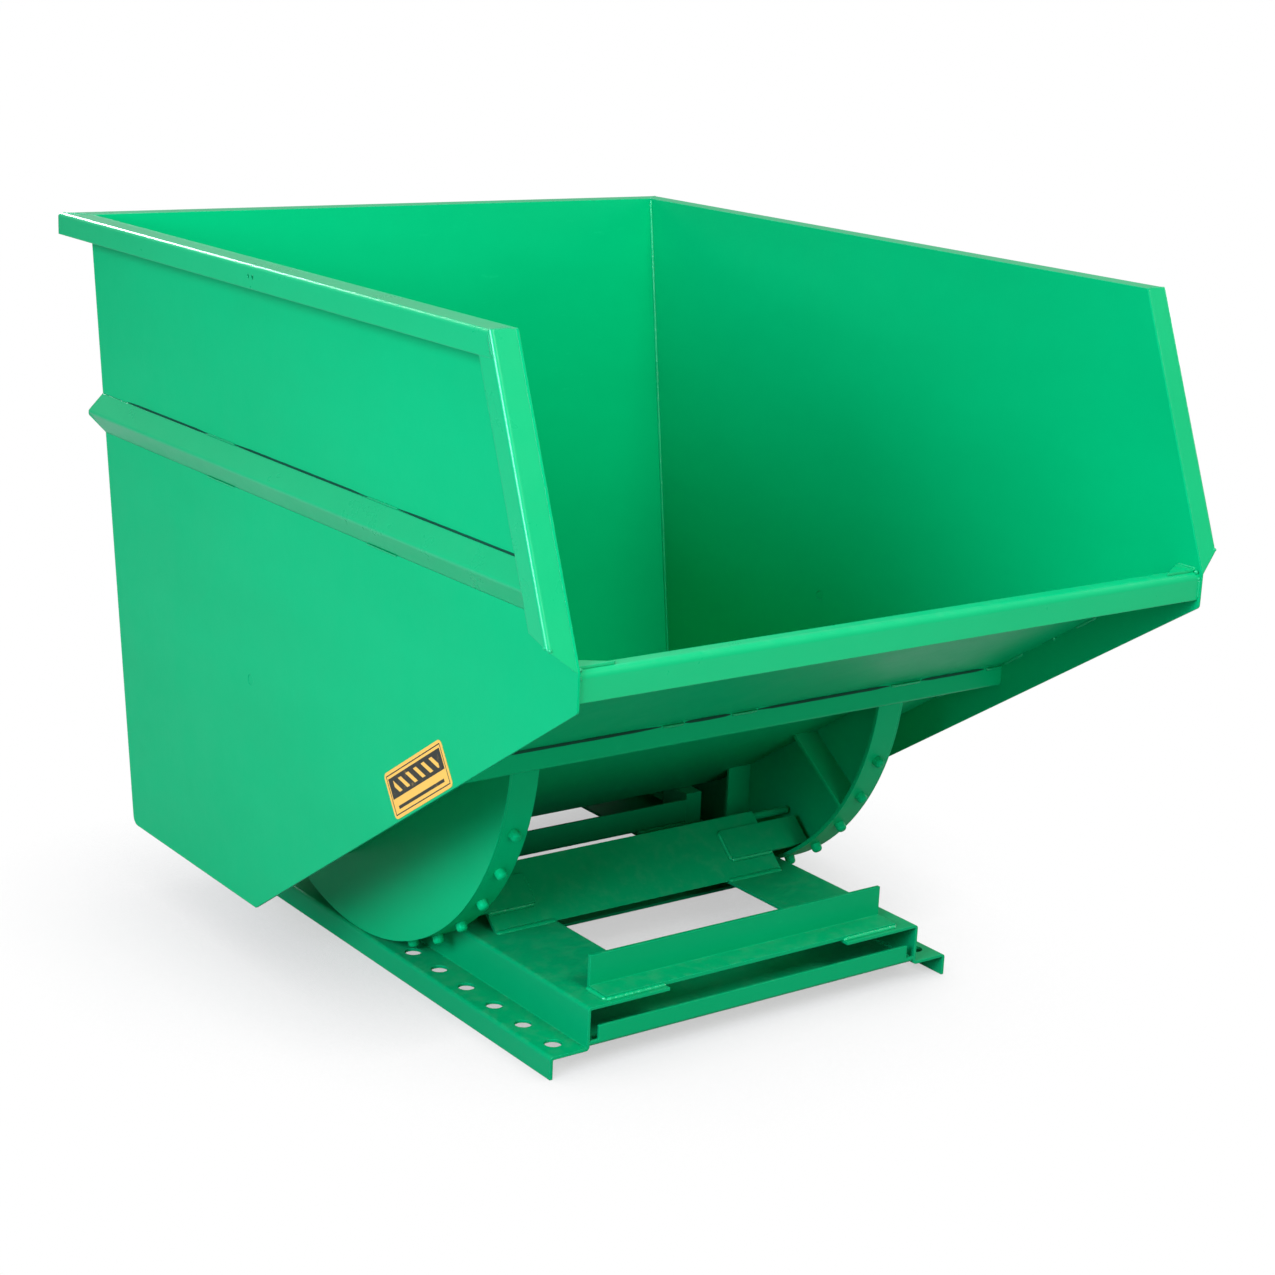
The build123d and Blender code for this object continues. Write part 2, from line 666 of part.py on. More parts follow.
with BuildPart() as stop_bar:
    with BuildSketch(Plane.YZ):
        under = RIDGE + STOP_BAR_R
        bar_y = station(RIDGE_FOOT) + STOP_BAR_UP * RIDGE_UP[0] + under * RIDGE_UP[1]
        bar_z = TOP_Z + STOP_BAR_UP * RIDGE_UP[1] - under * RIDGE_UP[0]
        with Locations((bar_y, bar_z)):
            Circle(STOP_BAR_R)
    extrude(amount=STOP_BAR_HALF, both=True)
save(stop_bar, "roll_stop_bar")

# Rests for the level part of the bin's floor.
with BuildPart() as rest_angle:
    with BuildSketch(Plane.YZ):
        rest_line = [
            (station(REST_FRONT) + rail_half, TOP_Z + REST_ANGLE_HEIGHT),
            (station(REST_FRONT) + rail_half, TOP_Z + rail_half),
            (station(REST_FRONT + REST_ANGLE_DEPTH), TOP_Z + rail_half),
        ]
        add(formed(rest_line, RAIL_SHEET, RAIL_BEND))
    extrude(amount=REST_ANGLE_HALF, both=True)
save(rest_angle, "rest_angle")

with BuildPart() as rest_blocks:
    for name, side in SIDES:
        with BuildSketch(Plane.XY.offset(TOP_Z)):
            block_x = side * (REST_ANGLE_HALF + REST_BLOCK_WIDTH / 2)
            with Locations((block_x, station(REST_FRONT + REST_BLOCK_DEPTH / 2))):
                Rectangle(REST_BLOCK_WIDTH, REST_BLOCK_DEPTH)
        extrude(amount=FLOOR_LEVEL - REST_GAP - TOP_Z)
save(rest_blocks, "rest_blocks")

# Keeper bar for the latch, in two lugs on an upright plate at the base's rear end.
keeper_y = station(RAIL_BACK + KEEPER_BEHIND)
with BuildPart() as keeper_plate:
    with BuildSketch(Plane.XZ.offset(-station(RAIL_BACK))):
        with Locations((0, (STRAP_LEVEL + RAIL_SHEET + TOP_Z) / 2)):
            Rectangle(2 * KEEPER_PLATE_HALF, TOP_Z - STRAP_LEVEL - RAIL_SHEET)
    extrude(amount=RAIL_SHEET)
save(keeper_plate, "keeper_plate")

lug_inside = KEEPER_HALF - KEEPER_LUG
with BuildPart() as keeper_lugs:
    for name, side in SIDES:
        with BuildSketch(Plane.YZ.offset(side * lug_inside)):
            with Locations((station(RAIL_BACK) + KEEPER_BEHIND / 2, KEEPER_Z)):
                Rectangle(KEEPER_BEHIND, 4 * KEEPER_R)
            with Locations((keeper_y, KEEPER_Z)):
                Circle(2 * KEEPER_R)
                Circle(KEEPER_R + SHAFT_RUNNING, mode=Mode.SUBTRACT)
        extrude(amount=side * KEEPER_LUG)
save(keeper_lugs, "keeper_lugs")

with BuildPart() as keeper_bar:
    with BuildSketch(Plane.YZ):
        with Locations((keeper_y, KEEPER_Z)):
            Circle(KEEPER_R)
    extrude(amount=KEEPER_HALF + KEEPER_R, both=True)
    chamfer(keeper_bar.edges().filter_by(GeomType.CIRCLE), length=KEEPER_R / 5)
save(keeper_bar, "keeper_bar")

# ================================================================ latch
with BuildPart() as latch_brackets:
    for middle_x in BRACKET_X:
        with BuildSketch(Plane.YZ.offset(middle_x - BRACKET / 2)):
            with Locations((SHAFT_Y, SHAFT_Z)):
                Circle(BRACKET_BOSS)
            with BuildLine():
                Line(
                    (wall_y(SHAFT_Z - BRACKET_SPREAD), SHAFT_Z - BRACKET_SPREAD),
                    (wall_y(SHAFT_Z + BRACKET_SPREAD), SHAFT_Z + BRACKET_SPREAD),
                )
            make_hull()
            with Locations((SHAFT_Y, SHAFT_Z)):
                Circle(SHAFT_R + SHAFT_RUNNING, mode=Mode.SUBTRACT)
        extrude(amount=BRACKET)
save(latch_brackets, "latch_brackets")

with BuildPart() as latch_shaft:
    with BuildSketch(Plane.YZ.offset(SHAFT_LEFT)):
        with Locations((SHAFT_Y, SHAFT_Z)):
            Circle(SHAFT_R)
    extrude(amount=SHAFT_RIGHT - SHAFT_LEFT)
    chamfer(latch_shaft.edges().filter_by(GeomType.CIRCLE), length=SHAFT_R / 8)
save(latch_shaft, "latch_shaft")

released = radians(LATCH_SWING)
latch_turned = Plane(
    origin=(0, SHAFT_Y, SHAFT_Z), x_dir=(0, cos(released), sin(released)), z_dir=(1, 0, 0)
)
# Keeper seen from the shaft, in the hook's own frame when engaged.
keeper_u = keeper_y - SHAFT_Y
keeper_v = KEEPER_Z - SHAFT_Z
hook_front = keeper_u + KEEPER_R + HOOK_CATCH
hook_seat = keeper_v - KEEPER_R - HOOK_CATCH
with BuildPart() as latch_hook:
    with BuildSketch(latch_turned.offset(-HOOK / 2)):
        Circle(HOOK_BOSS)
        with BuildLine():
            Polyline(
                (HOOK_ARM / 2, 0),
                (HOOK_ARM / 2, -2 * HOOK_BOSS),
                (hook_front + HOOK_ARM, keeper_v + HOOK_ARM),
                (hook_front + HOOK_ARM, hook_seat - NOSE_DEPTH),
                (keeper_u - NOSE_REACH, hook_seat - NOSE_DEPTH),
                (keeper_u - NOSE_REACH, hook_seat - NOSE_DEPTH / 3),
                (keeper_u, hook_seat),
                (hook_front, hook_seat),
                (hook_front, keeper_v + HOOK_ARM),
                (-HOOK_ARM / 2, -2 * HOOK_BOSS),
                (-HOOK_ARM / 2, 0),
                close=True,
            )
        make_face()
        Circle(SHAFT_R + SHAFT_RUNNING, mode=Mode.SUBTRACT)
    extrude(amount=HOOK)
save(latch_hook, "latch_hook")

with BuildPart() as release_lever:
    with BuildSketch(latch_turned.offset(LEVER_X - LEVER / 2)):
        Circle(BRACKET_BOSS)
        with Locations((0, -LEVER_LENGTH / 2)):
            Rectangle(LEVER_WIDTH, LEVER_LENGTH)
        with Locations((0, -LEVER_LENGTH)):
            Circle(LEVER_WIDTH / 2)
            Circle(GRIP_R + SHAFT_RUNNING, mode=Mode.SUBTRACT)
        Circle(SHAFT_R + SHAFT_RUNNING, mode=Mode.SUBTRACT)
    extrude(amount=LEVER)
save(release_lever, "release_lever")

with BuildPart() as release_grip:
    with BuildSketch(latch_turned.offset(LEVER_X - GRIP_LENGTH / 2)):
        with Locations((0, -LEVER_LENGTH)):
            Circle(GRIP_R)
    extrude(amount=GRIP_LENGTH)
    fillet(release_grip.edges().filter_by(GeomType.CIRCLE), radius=GRIP_R / 3)
save(release_grip, "release_grip")

# Hubs pinned on the shaft's two ends keep it from sliding out of its brackets.
with BuildPart() as shaft_hubs:
    for hub_x in (SHAFT_LEFT, SHAFT_RIGHT - HUB_LENGTH):
        with BuildSketch(Plane.YZ.offset(hub_x)):
            with Locations((SHAFT_Y, SHAFT_Z)):
                Circle(HUB_R)
                Circle(SHAFT_R + SHAFT_RUNNING, mode=Mode.SUBTRACT)
        extrude(amount=HUB_LENGTH)
save(shaft_hubs, "shaft_hubs")

print("roll axis y, z:", ROLL_Y, ROLL_Z)
print("latch shaft y, z:", SHAFT_Y, SHAFT_Z)
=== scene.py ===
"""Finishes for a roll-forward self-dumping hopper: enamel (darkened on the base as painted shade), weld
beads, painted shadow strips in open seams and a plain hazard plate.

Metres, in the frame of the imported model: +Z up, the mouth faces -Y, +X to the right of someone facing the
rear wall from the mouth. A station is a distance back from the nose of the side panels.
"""

import logging
import math
from dataclasses import dataclass, field
from enum import Enum
from typing import Sequence

import bmesh
import bpy
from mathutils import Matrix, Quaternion, Vector, noise


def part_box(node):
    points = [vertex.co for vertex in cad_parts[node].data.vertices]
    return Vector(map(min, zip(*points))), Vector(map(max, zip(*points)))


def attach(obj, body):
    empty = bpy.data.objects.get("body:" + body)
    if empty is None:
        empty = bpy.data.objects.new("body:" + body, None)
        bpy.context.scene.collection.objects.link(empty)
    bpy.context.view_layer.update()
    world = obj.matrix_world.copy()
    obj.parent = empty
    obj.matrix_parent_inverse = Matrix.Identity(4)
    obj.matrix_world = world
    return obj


LOG = logging.getLogger("hopper")
SIDES = (("left", -1), ("right", 1))
RIGHT = Vector((1, 0, 0))
BACK = Vector((0, 1, 0))
UP = Vector((0, 0, 1))

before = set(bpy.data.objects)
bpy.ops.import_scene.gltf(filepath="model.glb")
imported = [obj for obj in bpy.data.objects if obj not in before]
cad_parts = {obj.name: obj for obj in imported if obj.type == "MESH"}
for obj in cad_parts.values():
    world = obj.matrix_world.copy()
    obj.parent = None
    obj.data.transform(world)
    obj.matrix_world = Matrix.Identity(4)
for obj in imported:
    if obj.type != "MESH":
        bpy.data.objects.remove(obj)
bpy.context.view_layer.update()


class Body(Enum):
    """The rigid bodies that welds and seams ride on."""

    BASE = "base"
    BIN = "bin"


class Slot(Enum):
    """Names of material slots for welds and seams; each set stores one, but nothing reads it."""

    BIN = "bin_enamel"
    BASE = "base_enamel"


# ---------------------------------------------------------------- shader building


@dataclass
class NodeSheet:
    """One node tree with short calls for placing and joining nodes."""

    tree: bpy.types.NodeTree

    def add(self, kind: str, **values: object) -> bpy.types.Node:
        """Place a node and set its properties.

        Args:
            kind: Blender's name for the node type.
            values: properties of the node by name.

        Returns:
            The new node.
        """
        node = self.tree.nodes.new(kind)
        for name, value in values.items():
            setattr(node, name, value)
        return node

    def feed(self, socket: bpy.types.NodeSocket, source: object) -> None:
        """Link a socket to a source, or set its value.

        Args:
            socket: the input to feed.
            source: an output socket, a number, a vector or a colour.
        """
        if isinstance(source, bpy.types.NodeSocket):
            self.tree.links.new(source, socket)
        elif source is not None:
            socket.default_value = source

    def math(self, operation: str, *sources: object, clamp: bool = False) -> bpy.types.NodeSocket:
        """Join numbers with a Math node and return its output.

        Args:
            operation: the node's operation.
            sources: sockets or numbers.
            clamp: whether to keep the result from 0 to 1.

        Returns:
            The result's socket.
        """
        node = self.add("ShaderNodeMath", operation=operation, use_clamp=clamp)
        for index, source in enumerate(sources):
            self.feed(node.inputs[index], source)
        return node.outputs[0]

    def blend(self, factor: object, first: object, second: object) -> bpy.types.NodeSocket:
        """Mix two colours.

        Args:
            factor: how much of the second colour.
            first: colour at factor 0.
            second: colour at factor 1.

        Returns:
            The mixed colour's socket.
        """
        node = self.add("ShaderNodeMix", data_type="RGBA")
        self.feed(node.inputs[0], factor)
        self.feed(node.inputs[6], first)
        self.feed(node.inputs[7], second)
        return node.outputs[2]

    def noise(self, where: object, scale: float, detail: float, rough: float = 0.5) -> bpy.types.NodeSocket:
        """Place a noise texture and return its value.

        Args:
            where: coordinates.
            scale: features per metre.
            detail: octaves.
            rough: weight of the finer octaves.

        Returns:
            The noise value's socket.
        """
        node = self.add("ShaderNodeTexNoise")
        self.feed(node.inputs["Vector"], where)
        self.feed(node.inputs["Scale"], scale)
        self.feed(node.inputs["Detail"], detail)
        self.feed(node.inputs["Roughness"], rough)
        return node.outputs[0]

    def ramp(self, value: object, low: float, high: float) -> bpy.types.NodeSocket:
        """Stretch a value so that low becomes 0 and high becomes 1, smoothly.

        Args:
            value: socket to stretch.
            low: value that becomes 0.
            high: value that becomes 1.

        Returns:
            The stretched value's socket.
        """
        node = self.add("ShaderNodeMapRange", interpolation_type="SMOOTHSTEP")
        self.feed(node.inputs["Value"], value)
        self.feed(node.inputs["From Min"], low)
        self.feed(node.inputs["From Max"], high)
        return node.outputs["Result"]

    def place(self, group: bpy.types.NodeTree, **inputs: object) -> bpy.types.Node:
        """Place a node group and feed its named inputs.

        Args:
            group: the group to place.
            inputs: sockets or values by input name, with _ for spaces.

        Returns:
            The group node.
        """
        node = self.add("ShaderNodeGroup", node_tree=group)
        for name, source in inputs.items():
            self.feed(node.inputs[name.replace("_", " ")], source)
        return node


class EffectShelf:
    """The shader effects that several finishes share, each built once as a node group."""

    def __init__(self) -> None:
        """Build every group."""
        self.rounded_edge = self._rounded_edge()
        self.orange_peel = self._orange_peel()
        self.sheet_wave = self._sheet_wave()
        self.spray_tone = self._spray_tone()
        self.scuff = self._scuff()
        self.dust = self._dust()

    @staticmethod
    def _start(
        name: str, inputs: Sequence[tuple[str, str, object]], outputs: Sequence[tuple[str, str]]
    ) -> tuple[NodeSheet, bpy.types.Node, bpy.types.Node]:
        """Make an empty group with named sockets.

        Args:
            name: the group's name.
            inputs: name, socket type and default of each input.
            outputs: name and socket type of each output.

        Returns:
            The sheet to build on, the input node and the output node.
        """
        tree = bpy.data.node_groups.new(name, "ShaderNodeTree")
        for title, kind, value in inputs:
            socket = tree.interface.new_socket(name=title, in_out="INPUT", socket_type=kind)
            if value is not None:
                socket.default_value = value
        for title, kind in outputs:
            tree.interface.new_socket(name=title, in_out="OUTPUT", socket_type=kind)
        sheet = NodeSheet(tree)
        return sheet, sheet.add("NodeGroupInput"), sheet.add("NodeGroupOutput")

    def _rounded_edge(self) -> bpy.types.NodeTree:
        """Soften sharp edges and mark them.

        Returns:
            A group that gives the softened normal and an edge mask.
        """
        sheet, entry, result = self._start(
            "rounded_edge",
            [("Radius", "NodeSocketFloat", 0.0015)],
            [("Normal", "NodeSocketVector"), ("Edge", "NodeSocketFloat")],
        )
        bevel = sheet.add("ShaderNodeBevel", samples=6)
        sheet.feed(bevel.inputs["Radius"], entry.outputs["Radius"])
        flat = sheet.add("ShaderNodeNewGeometry")
        dot = sheet.add("ShaderNodeVectorMath", operation="DOT_PRODUCT")
        sheet.feed(dot.inputs[0], bevel.outputs[0])
        sheet.feed(dot.inputs[1], flat.outputs["Normal"])
        turned = sheet.math("SUBTRACT", 1.0, dot.outputs["Value"])
        sheet.feed(result.inputs["Normal"], bevel.outputs[0])
        sheet.feed(result.inputs["Edge"], sheet.ramp(turned, low=0.01, high=0.16))
        return sheet.tree

    def _orange_peel(self) -> bpy.types.NodeTree:
        """Give the fine dimpled height of sprayed enamel.

        Returns:
            A group that gives a height from 0 to 1.
        """
        sheet, entry, result = self._start(
            "orange_peel", [("Scale", "NodeSocketFloat", 420.0)], [("Height", "NodeSocketFloat")]
        )
        where = sheet.add("ShaderNodeTexCoord").outputs["Object"]
        fine = sheet.noise(where, scale=1.0, detail=2.0, rough=0.45)
        sheet.feed(fine.node.inputs["Scale"], entry.outputs["Scale"])
        coarse = sheet.noise(where, scale=55.0, detail=2.0)
        sheet.feed(result.inputs["Height"], sheet.math("MULTIPLY_ADD", coarse, 0.8, fine))
        return sheet.tree

    def _sheet_wave(self) -> bpy.types.NodeTree:
        """Give the slow waves that rolled and welded sheet has.

        Returns:
            A group that gives a height from 0 to 1.
        """
        sheet, entry, result = self._start(
            "sheet_wave", [("Scale", "NodeSocketFloat", 2.4)], [("Height", "NodeSocketFloat")]
        )
        where = sheet.add("ShaderNodeTexCoord").outputs["Object"]
        slow = sheet.noise(where, scale=1.0, detail=1.0, rough=0.3)
        sheet.feed(slow.node.inputs["Scale"], entry.outputs["Scale"])
        sheet.feed(result.inputs["Height"], slow)
        return sheet.tree

    def _spray_tone(self) -> bpy.types.NodeTree:
        """Give the uneven tone that overlapping spray passes leave.

        Returns:
            A group that gives a tone mask and a gloss mask, both from 0 to 1.
        """
        sheet, entry, result = self._start(
            "spray_tone",
            [("Contrast", "NodeSocketFloat", 1.0)],
            [("Tone", "NodeSocketFloat"), ("Gloss", "NodeSocketFloat")],
        )
        where = sheet.add("ShaderNodeTexCoord").outputs["Object"]
        passes = sheet.add("ShaderNodeMapping", vector_type="POINT")
        sheet.feed(passes.inputs["Vector"], where)
        passes.inputs["Scale"].default_value = (1.0, 1.0, 3.2)
        broad = sheet.noise(passes.outputs[0], scale=1.6, detail=3.0, rough=0.55)
        mottle = sheet.noise(where, scale=23.0, detail=4.0, rough=0.6)
        mixed = sheet.math("MULTIPLY_ADD", mottle, 0.22, sheet.math("MULTIPLY", broad, 0.78))
        centred = sheet.math("SUBTRACT", mixed, 0.5)
        tone = sheet.math("MULTIPLY_ADD", centred, entry.outputs["Contrast"], 0.5, clamp=True)
        sheet.feed(result.inputs["Tone"], tone)
        patches = sheet.noise(where, scale=9.0, detail=5.0, rough=0.62)
        sheet.feed(result.inputs["Gloss"], sheet.ramp(patches, low=0.3, high=0.7))
        return sheet.tree

    def _scuff(self) -> bpy.types.NodeTree:
        """Give fine scratches that run in a few directions.

        Returns:
            A group that gives a scratch mask from 0 to 1.
        """
        sheet, entry, result = self._start(
            "scuff", [("Amount", "NodeSocketFloat", 0.3)], [("Mask", "NodeSocketFloat")]
        )
        where = sheet.add("ShaderNodeTexCoord").outputs["Object"]
        masks = []
        for turn, stretch in ((0.3, 60.0), (1.35, 85.0)):
            along = sheet.add("ShaderNodeMapping", vector_type="POINT")
            sheet.feed(along.inputs["Vector"], where)
            along.inputs["Rotation"].default_value = (turn, turn * 0.7, turn)
            along.inputs["Scale"].default_value = (3.0, stretch, 3.0)
            streaks = sheet.noise(along.outputs[0], scale=6.0, detail=3.0)
            masks.append(sheet.ramp(streaks, low=0.66, high=0.74))
        patch = sheet.ramp(sheet.noise(where, scale=5.0, detail=3.0), low=0.5, high=0.72)
        both = sheet.math("MAXIMUM", *masks)
        amount = sheet.math("MULTIPLY", patch, entry.outputs["Amount"])
        sheet.feed(result.inputs["Mask"], sheet.math("MULTIPLY", both, amount, clamp=True))
        return sheet.tree

    def _dust(self) -> bpy.types.NodeTree:
        """Give the pale dust that settles on faces that look up.

        Returns:
            A group that gives a dust mask from 0 to 1.
        """
        sheet, entry, result = self._start(
            "dust", [("Amount", "NodeSocketFloat", 0.1)], [("Mask", "NodeSocketFloat")]
        )
        coords = sheet.add("ShaderNodeTexCoord")
        parts = sheet.add("ShaderNodeSeparateXYZ")
        sheet.feed(parts.inputs[0], coords.outputs["Normal"])
        facing = sheet.ramp(parts.outputs["Z"], low=0.35, high=0.95)
        specks = sheet.noise(coords.outputs["Object"], scale=36.0, detail=6.0, rough=0.7)
        speckle = sheet.ramp(specks, low=0.42, high=0.7)
        mask = sheet.math("MULTIPLY", facing, speckle)
        sheet.feed(result.inputs["Mask"], sheet.math("MULTIPLY", mask, entry.outputs["Amount"]))
        return sheet.tree


# ---------------------------------------------------------------- finishes


@dataclass(frozen=True)
class Enamel:
    """Sprayed enamel over steel sheet."""

    name: str
    colour: tuple[float, float, float] = (0.0, 0.42, 0.15)
    deep: tuple[float, float, float] = (0.0, 0.37, 0.128)
    worn: tuple[float, float, float] = (0.012, 0.53, 0.22)
    dust: tuple[float, float, float] = (0.55, 0.6, 0.52)
    tone_contrast: float = 1.5
    roughness: float = 0.36
    gloss_spread: float = 0.07
    scuff_roughness: float = 0.25
    dust_roughness: float = 0.4
    edge_radius: float = 0.0018
    edge_wear: float = 0.35
    peel: float = 0.12
    peel_scale: float = 420.0
    peel_height: float = 0.001
    wave: float = 0.25
    wave_scale: float = 2.4
    wave_height: float = 0.02
    scuffs: float = 0.25
    dusting: float = 0.02
    coat: float = 0.0
    coat_roughness: float = 0.16
    bend_index: float = 1.28
    sheen: tuple[float, float, float] = (0.06, 1.0, 0.75)

    def build(self, shelf: EffectShelf) -> bpy.types.Material:
        """Make the material.

        Args:
            shelf: the shared effects.

        Returns:
            The finished material.
        """
        material = bpy.data.materials.new(self.name)
        material.use_nodes = True
        sheet = NodeSheet(material.node_tree)
        shader = material.node_tree.nodes["Principled BSDF"]
        edge = sheet.place(shelf.rounded_edge, Radius=self.edge_radius)
        spray = sheet.place(shelf.spray_tone, Contrast=self.tone_contrast)
        scuff = sheet.place(shelf.scuff, Amount=self.scuffs)
        dust = sheet.place(shelf.dust, Amount=self.dusting)
        base = sheet.blend(spray.outputs["Tone"], (*self.deep, 1), (*self.colour, 1))
        rubbed = sheet.math("MULTIPLY", edge.outputs["Edge"], self.edge_wear)
        base = sheet.blend(rubbed, base, (*self.worn, 1))
        base = sheet.blend(scuff.outputs["Mask"], base, (*self.worn, 1))
        base = sheet.blend(dust.outputs["Mask"], base, (*self.dust, 1))
        sheet.feed(shader.inputs["Base Color"], base)
        rough = sheet.math("MULTIPLY_ADD", spray.outputs["Gloss"], self.gloss_spread, self.roughness)
        rough = sheet.math("MULTIPLY_ADD", scuff.outputs["Mask"], self.scuff_roughness, rough)
        rough = sheet.math("MULTIPLY_ADD", dust.outputs["Mask"], self.dust_roughness, rough)
        sheet.feed(shader.inputs["Roughness"], rough)
        wave = sheet.place(shelf.sheet_wave, Scale=self.wave_scale)
        bend = sheet.add("ShaderNodeBump")
        bend.inputs["Distance"].default_value = self.wave_height
        bend.inputs["Strength"].default_value = self.wave
        sheet.feed(bend.inputs["Height"], wave.outputs["Height"])
        sheet.feed(bend.inputs["Normal"], edge.outputs["Normal"])
        peel = sheet.place(shelf.orange_peel, Scale=self.peel_scale)
        bump = sheet.add("ShaderNodeBump")
        bump.inputs["Distance"].default_value = self.peel_height
        bump.inputs["Strength"].default_value = self.peel
        sheet.feed(bump.inputs["Height"], peel.outputs["Height"])
        sheet.feed(bump.inputs["Normal"], bend.outputs[0])
        sheet.feed(shader.inputs["Normal"], bump.outputs[0])
        shader.inputs["Coat Weight"].default_value = self.coat
        shader.inputs["Coat Roughness"].default_value = self.coat_roughness
        shader.inputs["IOR"].default_value = self.bend_index
        shader.inputs["Specular Tint"].default_value = (*self.sheen, 1)
        return material


@dataclass(frozen=True)
class BeadEnamel:
    """Enamel lying thick and glossy over weld beads."""

    name: str = "bead_enamel"
    colour: tuple[float, float, float] = (0.0, 0.43, 0.155)
    hollow: tuple[float, float, float] = (0.0, 0.29, 0.1)
    sheen: tuple[float, float, float] = (0.4, 1.0, 0.8)
    tone_contrast: float = 2.2
    roughness: float = 0.26
    gloss_spread: float = 0.12
    peel: float = 0.35
    peel_scale: float = 900.0
    peel_height: float = 0.001
    coat: float = 0.25
    coat_roughness: float = 0.12

    def build(self, shelf: EffectShelf) -> bpy.types.Material:
        """Make the material.

        Args:
            shelf: the shared effects.

        Returns:
            The finished material.
        """
        material = bpy.data.materials.new(self.name)
        material.use_nodes = True
        sheet = NodeSheet(material.node_tree)
        shader = material.node_tree.nodes["Principled BSDF"]
        spray = sheet.place(shelf.spray_tone, Contrast=self.tone_contrast)
        peel = sheet.place(shelf.orange_peel, Scale=self.peel_scale)
        base = sheet.blend(spray.outputs["Tone"], (*self.hollow, 1), (*self.colour, 1))
        sheet.feed(shader.inputs["Base Color"], base)
        rough = sheet.math("MULTIPLY_ADD", spray.outputs["Gloss"], self.gloss_spread, self.roughness)
        sheet.feed(shader.inputs["Roughness"], rough)
        bump = sheet.add("ShaderNodeBump")
        bump.inputs["Distance"].default_value = self.peel_height
        bump.inputs["Strength"].default_value = self.peel
        sheet.feed(bump.inputs["Height"], peel.outputs["Height"])
        sheet.feed(shader.inputs["Normal"], bump.outputs[0])
        shader.inputs["Specular Tint"].default_value = (*self.sheen, 1)
        shader.inputs["Coat Weight"].default_value = self.coat
        shader.inputs["Coat Roughness"].default_value = self.coat_roughness
        return material


@dataclass(frozen=True)
class GapShadow:
    """Painted shadow: a near-black strip standing in for the shade inside an unwelded gap where two plates
    meet.
    """

    name: str = "open_joint"
    # dark and paler are painted shadow for the shade inside the gap, not a paint colour of the joint.
    dark: tuple[float, float, float] = (0.001, 0.035, 0.018)
    paler: tuple[float, float, float] = (0.002, 0.085, 0.042)
    tone_contrast: float = 2.5
    roughness: float = 0.7
    gloss_spread: float = 0.1
    specular: float = 0.15

    def build(self, shelf: EffectShelf) -> bpy.types.Material:
        """Make the material.

        Args:
            shelf: the shared effects.

        Returns:
            The finished material.
        """
        material = bpy.data.materials.new(self.name)
        material.use_nodes = True
        sheet = NodeSheet(material.node_tree)
        shader = material.node_tree.nodes["Principled BSDF"]
        spray = sheet.place(shelf.spray_tone, Contrast=self.tone_contrast)
        base = sheet.blend(spray.outputs["Tone"], (*self.dark, 1), (*self.paler, 1))
        sheet.feed(shader.inputs["Base Color"], base)
        rough = sheet.math("MULTIPLY_ADD", spray.outputs["Gloss"], self.gloss_spread, self.roughness)
        sheet.feed(shader.inputs["Roughness"], rough)
        shader.inputs["Specular IOR Level"].default_value = self.specular
        return material


